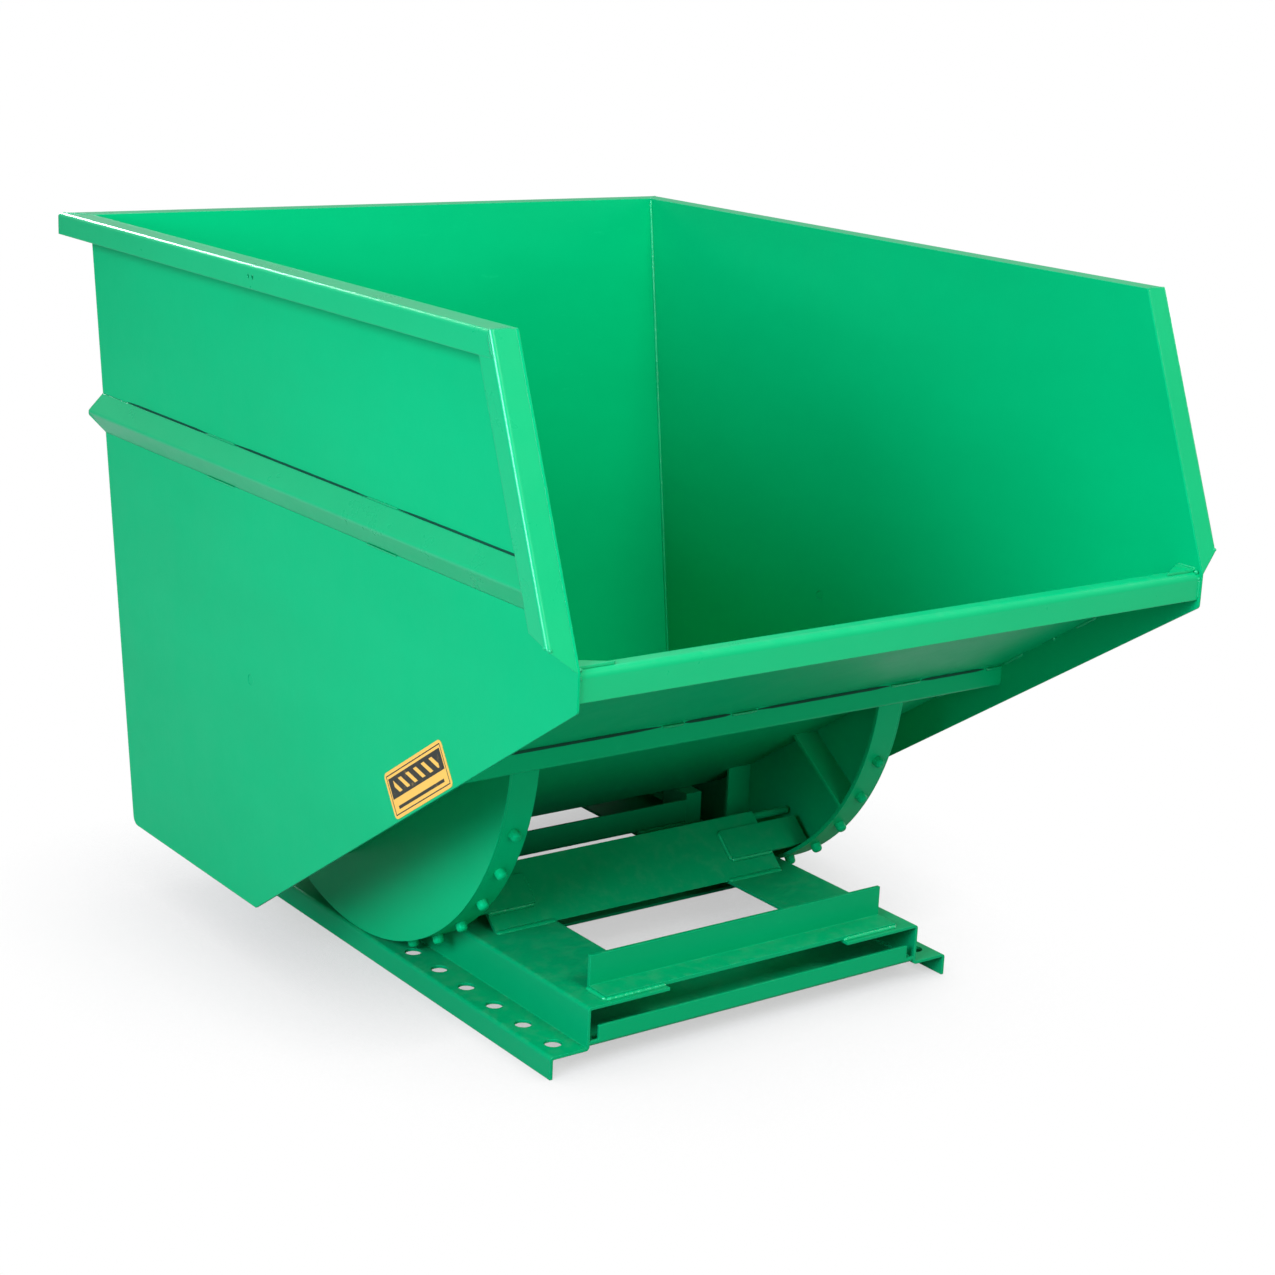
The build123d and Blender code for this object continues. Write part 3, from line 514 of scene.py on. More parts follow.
@dataclass(frozen=True)
class HazardPlate:
    """Amber plate with a dark border, a dark striped band and a plain bar, and no words."""

    centre: Vector
    along: Vector
    across: Vector
    length: float
    height: float
    name: str = "hazard_plate"
    amber: tuple[float, float, float] = (0.88, 0.47, 0.075)
    ink: tuple[float, float, float] = (0.022, 0.021, 0.012)
    dust: tuple[float, float, float] = (0.6, 0.6, 0.5)
    margin: float = 0.006
    line: float = 0.0022
    panel_inset: float = 0.01128
    band: tuple[float, float] = (-0.008, 0.030)
    band_edge: float = 0.007
    stripe_pitch: float = 0.030
    stripe_start: float = 0.6
    stripe_half: float = 0.084
    bar: tuple[float, float] = (-0.0285, -0.0225)
    bar_half: float = 0.088
    fade_scale: float = 60.0
    dusting: float = 0.1
    roughness: float = 0.3
    roughness_spread: float = 0.15
    edge_radius: float = 0.0006
    grain: float = 0.25
    grain_scale: float = 700.0
    grain_height: float = 0.0004

    def _inside(self, sheet: NodeSheet, value: object, low: float, high: float) -> bpy.types.NodeSocket:
        """Mark where a value lies between two limits.

        Args:
            sheet: the node sheet.
            value: the value's socket.
            low: lower limit.
            high: upper limit.

        Returns:
            A mask's socket.
        """
        over = sheet.math("GREATER_THAN", value, low)
        under = sheet.math("LESS_THAN", value, high)
        return sheet.math("MULTIPLY", over, under)

    def _frame(self, sheet: NodeSheet, u: object, v: object, inset: float) -> bpy.types.NodeSocket:
        """Mark the rectangle that lies an inset inside the plate.

        Args:
            sheet: the node sheet.
            u: position along the plate.
            v: position across the plate.
            inset: distance from the plate's edge.

        Returns:
            A mask's socket.
        """
        half_u = self.length / 2 - inset
        half_v = self.height / 2 - inset
        return sheet.math(
            "MULTIPLY", self._inside(sheet, u, -half_u, half_u), self._inside(sheet, v, -half_v, half_v)
        )

    def build(self, shelf: EffectShelf) -> bpy.types.Material:
        """Make the material.

        Args:
            shelf: the shared effects.

        Returns:
            The finished material.
        """
        material = bpy.data.materials.new(self.name)
        material.use_nodes = True
        sheet = NodeSheet(material.node_tree)
        shader = material.node_tree.nodes["Principled BSDF"]
        where = sheet.add("ShaderNodeTexCoord").outputs["Object"]
        off = sheet.add("ShaderNodeVectorMath", operation="SUBTRACT")
        sheet.feed(off.inputs[0], where)
        sheet.feed(off.inputs[1], tuple(self.centre))
        axes = []
        for direction in (self.along, self.across):
            dot = sheet.add("ShaderNodeVectorMath", operation="DOT_PRODUCT")
            sheet.feed(dot.inputs[0], off.outputs[0])
            sheet.feed(dot.inputs[1], tuple(direction))
            axes.append(dot.outputs["Value"])
        u, v = axes
        outer = self._frame(sheet, u, v, self.margin)
        inner = self._frame(sheet, u, v, self.margin + self.line)
        border = sheet.math("SUBTRACT", outer, inner)
        panel = self._frame(sheet, u, v, self.panel_inset)
        band_low, band_high = self.band
        band = sheet.math("MULTIPLY", panel, self._inside(sheet, v, band_low, band_high))
        slanted = sheet.math("ADD", u, v)
        phase = sheet.math("FRACT", sheet.math("DIVIDE", slanted, self.stripe_pitch))
        stripe = sheet.math("GREATER_THAN", phase, self.stripe_start)
        clear = self._inside(sheet, v, band_low + self.band_edge, band_high - self.band_edge)
        stripe = sheet.math("MULTIPLY", stripe, clear)
        stripe = sheet.math("MULTIPLY", stripe, self._inside(sheet, u, -self.stripe_half, self.stripe_half))
        dark = sheet.math("MULTIPLY", band, sheet.math("SUBTRACT", 1.0, stripe))
        bar = self._inside(sheet, v, *self.bar)
        bar = sheet.math("MULTIPLY", bar, self._inside(sheet, u, -self.bar_half, self.bar_half))
        printed = sheet.math("MAXIMUM", sheet.math("MAXIMUM", border, dark), bar)
        faded = sheet.noise(where, scale=self.fade_scale, detail=4.0)
        printed = sheet.math("MULTIPLY", printed, sheet.ramp(faded, low=0.0, high=0.42))
        base = sheet.blend(printed, (*self.amber, 1), (*self.ink, 1))
        dust = sheet.place(shelf.dust, Amount=self.dusting)
        base = sheet.blend(dust.outputs["Mask"], base, (*self.dust, 1))
        sheet.feed(shader.inputs["Base Color"], base)
        rough = sheet.math("MULTIPLY_ADD", faded, self.roughness_spread, self.roughness)
        sheet.feed(shader.inputs["Roughness"], rough)
        edge = sheet.place(shelf.rounded_edge, Radius=self.edge_radius)
        bump = sheet.add("ShaderNodeBump")
        bump.inputs["Distance"].default_value = self.grain_height
        bump.inputs["Strength"].default_value = self.grain
        sheet.feed(bump.inputs["Height"], sheet.noise(where, scale=self.grain_scale, detail=2.0))
        sheet.feed(bump.inputs["Normal"], edge.outputs["Normal"])
        sheet.feed(shader.inputs["Normal"], bump.outputs[0])
        return material


# ---------------------------------------------------------------- welds and painted seam shadows


def bridge(mesh: bmesh.types.BMesh, outlines: Sequence[Sequence[Vector]]) -> None:
    """Join closed outlines into one skin with capped ends.

    Args:
        mesh: the mesh to add to.
        outlines: outlines with the same number of points, in order.
    """
    rings = [[mesh.verts.new(point) for point in outline] for outline in outlines]
    for here, there in zip(rings, rings[1:]):
        for index in range(len(here)):
            after = (index + 1) % len(here)
            mesh.faces.new((here[index], here[after], there[after], there[index]))
    mesh.faces.new(rings[0][::-1])
    mesh.faces.new(rings[-1])


@dataclass
class StraightRun:
    """A straight weld in the corner between two plates."""

    start: Vector
    end: Vector
    first: Vector
    second: Vector
    leg: float = 0.005

    @property
    def length(self) -> float:
        """Length of the run."""
        return (self.end - self.start).length

    def frame_at(self, distance: float) -> tuple[Vector, Vector, Vector]:
        """Give the root and the two plate directions at a distance.

        Args:
            distance: how far along the run.

        Returns:
            The root and the unit vectors up each plate.
        """
        root = self.start.lerp(self.end, distance / self.length)
        return root, self.first, self.second


@dataclass
class ArcRun:
    """A weld around an arc about a line parallel to X."""

    centre: Vector
    radius: float
    angle_from: float
    angle_to: float
    sideways: Vector
    leg: float = 0.005

    @property
    def length(self) -> float:
        """Length of the run."""
        return abs(self.angle_to - self.angle_from) * self.radius

    def frame_at(self, distance: float) -> tuple[Vector, Vector, Vector]:
        """Give the root and the two plate directions at a distance.

        Args:
            distance: how far along the run.

        Returns:
            The root, the unit vector towards the arc's centre and the sideways unit vector.
        """
        share = distance / self.length
        angle = self.angle_from + (self.angle_to - self.angle_from) * share
        outward = Vector((0, -math.cos(angle), -math.sin(angle)))
        return self.centre + outward * self.radius, -outward, self.sideways


@dataclass
class WeldSet:
    """Weld beads that make one piece: rippled, slightly uneven and rounded at their ends."""

    name: str
    body: Body
    slot: Slot
    runs: list[StraightRun | ArcRun] = field(default_factory=list)
    drops: list[tuple[Vector, float]] = field(default_factory=list)
    step: float = 0.0016
    arc_points: int = 6
    crown: float = 0.30
    ripple: float = 0.10
    ripple_pitch: float = 0.0046
    ripple_lag: float = 0.55
    root_depth: float = 0.12
    end_share: float = 0.9
    end_stub: float = 0.0004
    flat_limit: float = 0.1
    slow_wander: tuple[float, float] = (0.14, 130)
    fast_wander: tuple[float, float] = (0.08, 420)
    drop_wander: float = 0.16

    def stitch(self, run: StraightRun, bead: float, pitch: float, lead: float = 0.0) -> None:
        """Add short beads along a line.

        Args:
            run: the whole line.
            bead: length of one bead.
            pitch: distance between the starts of beads.
            lead: distance from the line's start to the first bead.
        """
        at = lead
        while at + bead <= run.length:
            start = run.start.lerp(run.end, at / run.length)
            end = run.start.lerp(run.end, (at + bead) / run.length)
            self.runs.append(StraightRun(start, end, run.first, run.second, run.leg))
            at += pitch

    def _ring(self, run: StraightRun | ArcRun, distance: float) -> list[Vector]:
        """Give the bead's outline at a distance along a run.

        Args:
            run: the run.
            distance: how far along it.

        Returns:
            The root and the points of the bead's face.
        """
        root, first, second = run.frame_at(distance)
        out = first + second
        if out.length <= self.flat_limit:
            along = run.frame_at(min(distance + self.step, run.length))[0] - root
            out = first.cross(along) if along.length > 0 else UP.copy()
        out.normalize()
        near_end = min(distance, run.length - distance)
        taper = math.sqrt(min(1.0, (near_end + self.end_stub) / (run.leg * self.end_share)))
        uneven = 1.0
        for amount, scale in (self.slow_wander, self.fast_wander):
            uneven += amount * noise.noise(root * scale)
        leg = run.leg * taper * uneven
        ring = [root - out * leg * self.root_depth]
        for index in range(self.arc_points + 1):
            share = index / self.arc_points
            hump = math.sin(math.pi * share)
            phase = (distance + run.leg * self.ripple_lag * hump) / self.ripple_pitch
            swell = self.crown + self.ripple * math.sin(2 * math.pi * phase) * hump
            face = first * (1 - share) + second * share
            ring.append(root + face * leg + out * leg * swell * hump)
        return ring

    def _add_run(self, mesh: bmesh.types.BMesh, run: StraightRun | ArcRun) -> None:
        """Add one bead to a mesh.

        Args:
            mesh: the mesh to add to.
            run: the bead's run.
        """
        count = max(4, int(run.length / self.step))
        bridge(mesh, [self._ring(run, run.length * index / count) for index in range(count + 1)])

    def _add_drop(self, mesh: bmesh.types.BMesh, place: Vector, radius: float) -> None:
        """Add one rounded drop of weld metal to a mesh.

        Args:
            mesh: the mesh to add to.
            place: the drop's middle.
            radius: the drop's radius.
        """
        made = bmesh.ops.create_icosphere(mesh, subdivisions=3, radius=radius)
        for vert in made["verts"]:
            bump = 1 + self.drop_wander * noise.noise(vert.co * 300 + place * 50)
            vert.co = place + vert.co * bump

    def build(self, material: bpy.types.Material) -> bpy.types.Object:
        """Make the piece and let it ride on its body.

        Args:
            material: its finish.

        Returns:
            The new object.
        """
        mesh = bmesh.new()
        for run in self.runs:
            self._add_run(mesh, run)
        for place, radius in self.drops:
            self._add_drop(mesh, place, radius)
        bmesh.ops.recalc_face_normals(mesh, faces=mesh.faces)
        return finish_mesh(mesh, self.name, self.body, material)


@dataclass
class ShadowStripSet:
    """Thin dark strips of painted shadow, standing in for the shade inside gaps where two plates meet
    without a weld.
    """

    name: str
    body: Body
    slot: Slot
    proud: float = 0.0003
    cell: float = 0.012
    end_taper: float = 6
    end_width: float = 0.25
    wander: tuple[float, float] = (0.08, 90)
    strips: list[tuple[Vector, Vector, Vector, Vector, float]] = field(default_factory=list)

    def add(self, start: Vector, end: Vector, across: Vector, out: Vector, width: float) -> None:
        """Add a strip.

        Args:
            start: one end of its middle line, on the plate's face.
            end: the other end.
            across: unit vector across the strip, in the face.
            out: unit vector out of the face.
            width: the strip's width.
        """
        self.strips.append((start, end, across, out, width))

    def build(self, material: bpy.types.Material) -> bpy.types.Object:
        """Make the piece and let it ride on its body.

        Args:
            material: its finish.

        Returns:
            The new object.
        """
        mesh = bmesh.new()
        for start, end, across, out, width in self.strips:
            count = max(2, int((end - start).length / self.cell))
            outlines = []
            for index in range(count + 1):
                share = index / count
                middle = start.lerp(end, share)
                pinch = min(1.0, self.end_taper * min(share, 1 - share) + self.end_width)
                amount, scale = self.wander
                half = across * width * pinch * (0.5 + amount * noise.noise(middle * scale))
                low, high = out * -self.proud, out * self.proud
                edges = (middle - half, middle + half)
                outlines.append((edges[0] + low, edges[1] + low, edges[1] + high, edges[0] + high))
            bridge(mesh, outlines)
        bmesh.ops.recalc_face_normals(mesh, faces=mesh.faces)
        return finish_mesh(mesh, self.name, self.body, material)


def finish_mesh(
    mesh: bmesh.types.BMesh, name: str, body: Body, material: bpy.types.Material
) -> bpy.types.Object:
    """Turn a mesh into a piece with smooth shading, a finish, a body and a slot.

    Args:
        mesh: the mesh, freed afterwards.
        name: the piece's name.
        body: the body it rides on.
        material: its finish.

    Returns:
        The new object.
    """
    for face in mesh.faces:
        face.smooth = True
    data = bpy.data.meshes.new(name)
    mesh.to_mesh(data)
    mesh.free()
    piece = bpy.data.objects.new(name, data)
    bpy.context.scene.collection.objects.link(piece)
    data.materials.append(material)
    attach(piece, body.value)
    return piece


def dress(nodes: Sequence[str], material: bpy.types.Material) -> None:
    """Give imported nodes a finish.

    Args:
        nodes: names of the nodes.
        material: the finish.
    """
    for name in nodes:
        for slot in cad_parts[name].material_slots:
            slot.material = material


# ---------------------------------------------------------------- sub-assemblies


@dataclass
class Finishes:
    """The materials that the sub-assemblies share."""

    shelf: EffectShelf
    shell: bpy.types.Material
    trim: bpy.types.Material
    base: bpy.types.Material
    latch: bpy.types.Material
    bead: bpy.types.Material
    open_joint: bpy.types.Material

    @classmethod
    def make(cls) -> "Finishes":
        """Build the shared effects and materials.

        Returns:
            The set of finishes.
        """
        shelf = EffectShelf()
        return cls(
            shelf=shelf,
            shell=Enamel("shell_enamel").build(shelf),
            trim=Enamel(
                "trim_enamel",
                wave=0.08,
                edge_radius=0.0024,
                roughness=0.27,
                scuffs=0.1,
                coat=0.3,
                bend_index=1.4,
                sheen=(0.6, 1.0, 0.85),
            ).build(shelf),
            # The base enamel is the bin's green darkened to about three quarters: painted shade standing in
            # for the bin's shade over the base, not a different paint.
            base=Enamel(
                "base_enamel_painted_shade",
                colour=(0.0, 0.32, 0.116),
                deep=(0.0, 0.28, 0.098),
                wave=0.1,
                scuffs=0.3,
                dusting=0.03,
                roughness=0.34,
                coat=0.03,
                sheen=(0.2, 1.0, 0.75),
            ).build(shelf),
            latch=Enamel("latch_enamel_finish", wave=0.05, scuffs=0.4, roughness=0.36).build(shelf),
            bead=BeadEnamel().build(shelf),
            # This dark finish is painted shadow for the unwelded gaps at rib roots and the brace edge.
            open_joint=GapShadow().build(shelf),
        )


@dataclass
class BinShell:
    """The bin: side panels, rear wall, floor, lip, rim, mouth flanges, ribs and plate."""

    finishes: Finishes
    sheet: float = 0.005
    rear_sheet: float = 0.00635
    rear_slant: float = 1.01
    rim_out: float = 0.049
    rim_drop: float = 0.044
    nose_top: float = 0.906
    nose_bottom: float = 0.840
    keel: float = 0.140
    knee_station: float = 1.075
    mouth_setback: float = 0.206
    mouth_slope: float = 0.4
    floor_level: float = 0.194
    floor_rise: float = 0.0725
    lap_station: float = 0.070
    rib_top: float = 1.055
    rib_low: float = 0.973
    corner_leg: float = 0.0046
    floor_leg: float = 0.005
    under_leg: float = 0.0048
    rib_leg: float = 0.0028
    lip_leg: float = 0.0028
    gusset_leg: float = 0.0035
    rim_leg: float = 0.0052
    bead: float = 0.062
    bead_pitch: float = 0.231
    rib_welds: tuple[tuple[float, float], ...] = ((1.279, 1.166), (0.660, 0.557))
    rib_gaps: tuple[tuple[float, float], ...] = ((0.045, 0.556), (0.661, 1.166), (1.279, 1.640))
    rear_rib_welds: tuple[tuple[float, float], ...] = ((-0.52, -0.40), (-0.06, 0.06), (0.40, 0.52))
    rib_gap_width: float = 0.0042
    drop_station: float = 0.363
    gusset_reach: float = 0.072
    plate_length: float = 0.222
    plate_height: float = 0.086
    panels: tuple[str, ...] = ("left_side_panel", "right_side_panel", "floor_plate", "rear_wall")
    trims: tuple[str, ...] = (
        "front_lip",
        "lip_corner_gussets",
        "rim_left",
        "rim_right",
        "rim_rear",
        "mouth_flange_left",
        "mouth_flange_right",
        "rib_left",
        "rib_right",
        "rib_rear",
    )

    def __post_init__(self) -> None:
        """Take the shell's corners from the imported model."""
        low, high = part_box("left_side_panel")
        self.half = -low.x
        self.inside = self.half - self.sheet
        self.nose_y = low.y
        self.top = high.z
        self.rear_top = high.y
        self.slope = (self.nose_bottom - self.keel) / self.knee_station
        self.fall = math.atan(self.slope)
        self.lift = self.sheet / math.cos(self.fall)
        self.off_floor = Vector((0, math.sin(self.fall), math.cos(self.fall)))
        self.down_floor = Vector((0, math.cos(self.fall), -math.sin(self.fall)))
        self.floor_top = self.floor_level + self.sheet
        wall_low, wall_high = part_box("rear_wall")
        self.wall_lean = (wall_high.y - wall_low.y - self.rear_sheet) / (wall_high.z - wall_low.z)
        self.wall_level = self.rear_sheet * self.rear_slant
        lean = math.atan2(self.mouth_setback, self.top - self.nose_top)
        self.mouth_back = Vector((0, math.cos(lean), -math.sin(lean)))

    def station(self, distance: float) -> float:
        """Y of a distance back from the nose.

        Args:
            distance: the station.

        Returns:
            The Y.
        """
        return self.nose_y + distance

    def under_floor(self, distance: float) -> float:
        """Height of the sloping floor's underside at a station.

        Args:
            distance: the station.

        Returns:
            The height.
        """
        run = self.station_of_knee - distance
        return self.floor_level + run * self.slope

    @property
    def station_of_knee(self) -> float:
        """Station where the floor turns level."""
        rise = self.floor_rise / math.cos(self.fall)
        return (self.nose_bottom + rise - self.floor_level) / self.slope

    def wall_inside(self, height: float) -> float:
        """Y of the rear wall's inner face.

        Args:
            height: the height it is wanted at.

        Returns:
            The Y.
        """
        return self.rear_top - (self.top - height) * self.wall_lean - self.wall_level

    def wall_outside(self, height: float) -> float:
        """Y of the rear wall's outer face.

        Args:
            height: the height it is wanted at.

        Returns:
            The Y.
        """
        return self.rear_top - (self.top - height) * self.wall_lean

    def dress_nodes(self) -> None:
        """Give the bin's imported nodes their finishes."""
        dress(self.panels, self.finishes.shell)
        dress(self.trims, self.finishes.trim)

    def weld_inside(self) -> bpy.types.Object:
        """Weld the inside corners.

        Returns:
            The piece.
        """
        welds = WeldSet("bin_inside_welds", Body.BIN, Slot.BIN)
        up_wall = Vector((0, self.wall_lean, 1)).normalized()
        knee = self.station(self.station_of_knee)
        short_of_rim, past_lap = 0.003, 0.012
        head_z = self.top - short_of_rim
        front = self.lap_station + past_lap
        for _, side in SIDES:
            x = side * self.inside
            inward = RIGHT * -side
            foot = Vector((x, self.wall_inside(self.floor_top), self.floor_top))
            head = Vector((x, self.wall_inside(head_z), head_z))
            welds.runs.append(StraightRun(foot, head, inward, -BACK, self.corner_leg))
            slope_foot = Vector((x, knee, self.floor_top))
            slope_head = Vector((x, self.station(front), self.under_floor(front) + self.lift))
            welds.runs.append(StraightRun(slope_head, slope_foot, inward, self.off_floor, self.floor_leg))
            welds.runs.append(StraightRun(slope_foot, foot, inward, UP, self.floor_leg))
        left = Vector((-self.inside, self.wall_inside(self.floor_top), self.floor_top))
        right = Vector((self.inside, left.y, left.z))
        welds.runs.append(StraightRun(left, right, up_wall, -BACK, self.floor_leg))
        return welds.build(self.finishes.bead)

    def weld_lip(self) -> bpy.types.Object:
        """Weld the lip's ends and its tail.

        Returns:
            The piece.
        """
        welds = WeldSet("lip_welds", Body.BIN, Slot.BIN)
        foot_gap, head_gap, back_gap, tip_gap = 0.004, 0.014, 0.002, 0.003
        joint_leg, tail_leg = 0.0032, 0.004
        upper_drop, lower_drop = 0.0042, 0.0034
        low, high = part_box("front_lip")
        gusset_low, gusset_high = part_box("lip_corner_gussets")
        for _, side in SIDES:
            x = side * self.inside
            inward = RIGHT * -side
            foot = Vector((x, low.y, low.z + foot_gap))
            head = Vector((x, low.y, high.z - head_gap))
            welds.runs.append(StraightRun(foot, head, inward, -BACK, self.lip_leg))
            corner = Vector((x, gusset_high.y - back_gap, gusset_low.z))
            reach = side * (self.inside - self.gusset_reach)
            tip = Vector((reach, gusset_low.y + tip_gap, gusset_low.z))
            edge = (tip - corner).normalized()
            out = Vector((-edge.y, edge.x, 0)) * side
            welds.runs.append(StraightRun(corner, tip, out, UP, self.gusset_leg))
            near = Vector((x, gusset_low.y + back_gap, gusset_high.z))
            far = Vector((x, gusset_high.y - tip_gap, gusset_high.z))
            welds.runs.append(StraightRun(near, far, inward, UP, joint_leg))
            welds.drops.append((Vector((x - side * 0.005, low.y + 0.006, high.z + 0.0005)), upper_drop))
            welds.drops.append((Vector((x - side * 0.002, low.y + 0.0005, high.z - 0.012)), lower_drop))
        tail = self.lap_station + tip_gap
        left = Vector((-self.inside, self.station(tail), self.under_floor(tail) + self.lift))
        right = Vector((self.inside, left.y, left.z))
        welds.runs.append(StraightRun(left, right, self.down_floor, self.off_floor, tail_leg))
        return welds.build(self.finishes.bead)

    def weld_mouth(self) -> bpy.types.Object:
        """Weld the rim's front corners, the mouth flanges' joints and the rim's mitres.

        Returns:
            The piece.
        """
        welds = WeldSet("mouth_and_rim_welds", Body.BIN, Slot.BIN)
        top_setback, side_setback, skirt = 0.0062, 0.0058, 0.032
        root_gap, edge_gap, bend_gap = 0.004, 0.003, 0.006
        skirt_leg, mitre_leg = 0.0036, 0.004
        foot_rise = 0.037
        lower_drop, upper_drop = 0.0036, 0.0032
        y = self.station(self.mouth_setback)
        for _, side in SIDES:
            inner = side * self.half
            outer = side * (self.half + self.rim_out)
            near = Vector((inner + side * root_gap, y + top_setback, self.top))
            far = Vector((outer - side * edge_gap, y + top_setback, self.top))
            welds.runs.append(StraightRun(near, far, BACK, -BACK, self.rim_leg))
            head = Vector((outer, y + side_setback, self.top - bend_gap))
            skirt_y = y + side_setback - skirt * self.mouth_slope
            foot = Vector((outer, skirt_y, self.top - self.rim_drop + edge_gap))
            welds.runs.append(StraightRun(head, foot, BACK, -BACK, skirt_leg))
            foot_y = self.station(foot_rise * self.mouth_slope)
            foot_z = self.nose_top + foot_rise
            welds.drops.append((Vector((outer - side * 0.0052, foot_y + 0.002, foot_z + 0.002)), lower_drop))
            welds.drops.append((Vector((outer - side * 0.0012, foot_y + 0.011, foot_z + 0.005)), upper_drop))
            behind = self.mouth_back * self.sheet
            foot_in = Vector((inner, self.station(root_gap), self.nose_top + root_gap)) + behind
            head_in = Vector((inner, y, self.top - self.sheet - root_gap)) + behind
            welds.runs.append(StraightRun(foot_in, head_in, RIGHT * side, self.mouth_back, self.floor_leg))
            start = Vector((inner, self.rear_top, self.top))
            corner_out = self.rim_out - bend_gap
            corner = Vector((inner + side * corner_out, self.rear_top + corner_out, self.top))
            along = (corner - start).normalized()
            across = Vector((-along.y, along.x, 0)) * side
            welds.runs.append(StraightRun(start, corner, across, -across, mitre_leg))
        return welds.build(self.finishes.bead)

    def weld_outside(self) -> bpy.types.Object:
        """Weld the ribs in short runs, and the floor and rear wall from outside.

        Returns:
            The piece.
        """
        welds = WeldSet("bin_outside_welds", Body.BIN, Slot.BIN)
        knee = self.station(self.station_of_knee)
        front = 0.060
        rib_face = 0.8
        end_gap, rim_gap = 0.004, 0.05
        slope_start, level_start = 0.002, 0.06
        drop_size, wall_leg = 0.004, 0.0035
        for _, side in SIDES:
            x = side * self.half
            outward = RIGHT * side * rib_face
            for start, end in self.rib_welds:
                for height, up in ((self.rib_top, UP), (self.rib_low, -UP)):
                    from_end = Vector((x, self.station(start), height))
                    to_end = Vector((x, self.station(end), height))
                    welds.runs.append(StraightRun(from_end, to_end, outward, up, self.rib_leg))
            x = side * self.inside
            inward = RIGHT * -side
            nose = Vector((x, self.station(front), self.under_floor(front)))
            bend = Vector((x, knee, self.floor_level))
            rear = Vector((x, self.wall_outside(self.floor_level) - end_gap, self.floor_level))
            slope_line = StraightRun(nose, bend, inward, -self.off_floor, self.under_leg)
            level_line = StraightRun(bend, rear, inward, -UP, self.under_leg)
            welds.stitch(slope_line, self.bead, self.bead_pitch, slope_start)
            welds.stitch(level_line, self.bead, self.bead_pitch, level_start)
            drop_z = self.under_floor(self.drop_station) - 0.002
            drop_place = Vector((x - side * 0.002, self.station(self.drop_station), drop_z))
            welds.drops.append((drop_place, drop_size))
            foot = Vector((x, self.wall_outside(self.floor_level), self.floor_level + end_gap))
            head = Vector((x, self.wall_outside(self.top - rim_gap), self.top - rim_gap))
            welds.runs.append(StraightRun(foot, head, RIGHT, -RIGHT, wall_leg))
        y = self.wall_outside(self.rib_top)
        for start, end in self.rear_rib_welds:
            near, far = Vector((start, y, self.rib_top)), Vector((end, y, self.rib_top))
            welds.runs.append(StraightRun(near, far, BACK * rib_face, UP, self.rib_leg))
        return welds.build(self.finishes.bead)

    def gap_shadows(self) -> bpy.types.Object:
        """Paint shadow strips along the ribs' upper roots where no weld closes the gap.

        Returns:
            The piece.
        """
        seams = ShadowStripSet("rib_gap_shadows", Body.BIN, Slot.BIN)
        mouth_at_rib = self.mouth_setback * (self.rib_top - self.nose_top) / (self.top - self.nose_top)
        mouth_gap, above_rib, off_panel = 0.006, 0.0012, 0.0004
        front = mouth_at_rib + mouth_gap
        height = self.rib_top + above_rib
        for _, side in SIDES:
            x = side * (self.half + off_panel)
            for start, end in self.rib_gaps:
                near = Vector((x, self.station(max(start, front)), height))
                far = Vector((x, self.station(end), height))
                seams.add(near, far, UP, RIGHT * side, self.rib_gap_width)
        return seams.build(self.finishes.open_joint)

    def hazard_plate(self) -> None:
        """Give the plate on the left panel its plain stripes."""
        low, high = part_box("label_plate")
        plate = HazardPlate(
            centre=(low + high) / 2,
            along=-self.down_floor,
            across=self.off_floor,
            length=self.plate_length,
            height=self.plate_height,
        )
        dress(("label_plate",), plate.build(self.finishes.shelf))


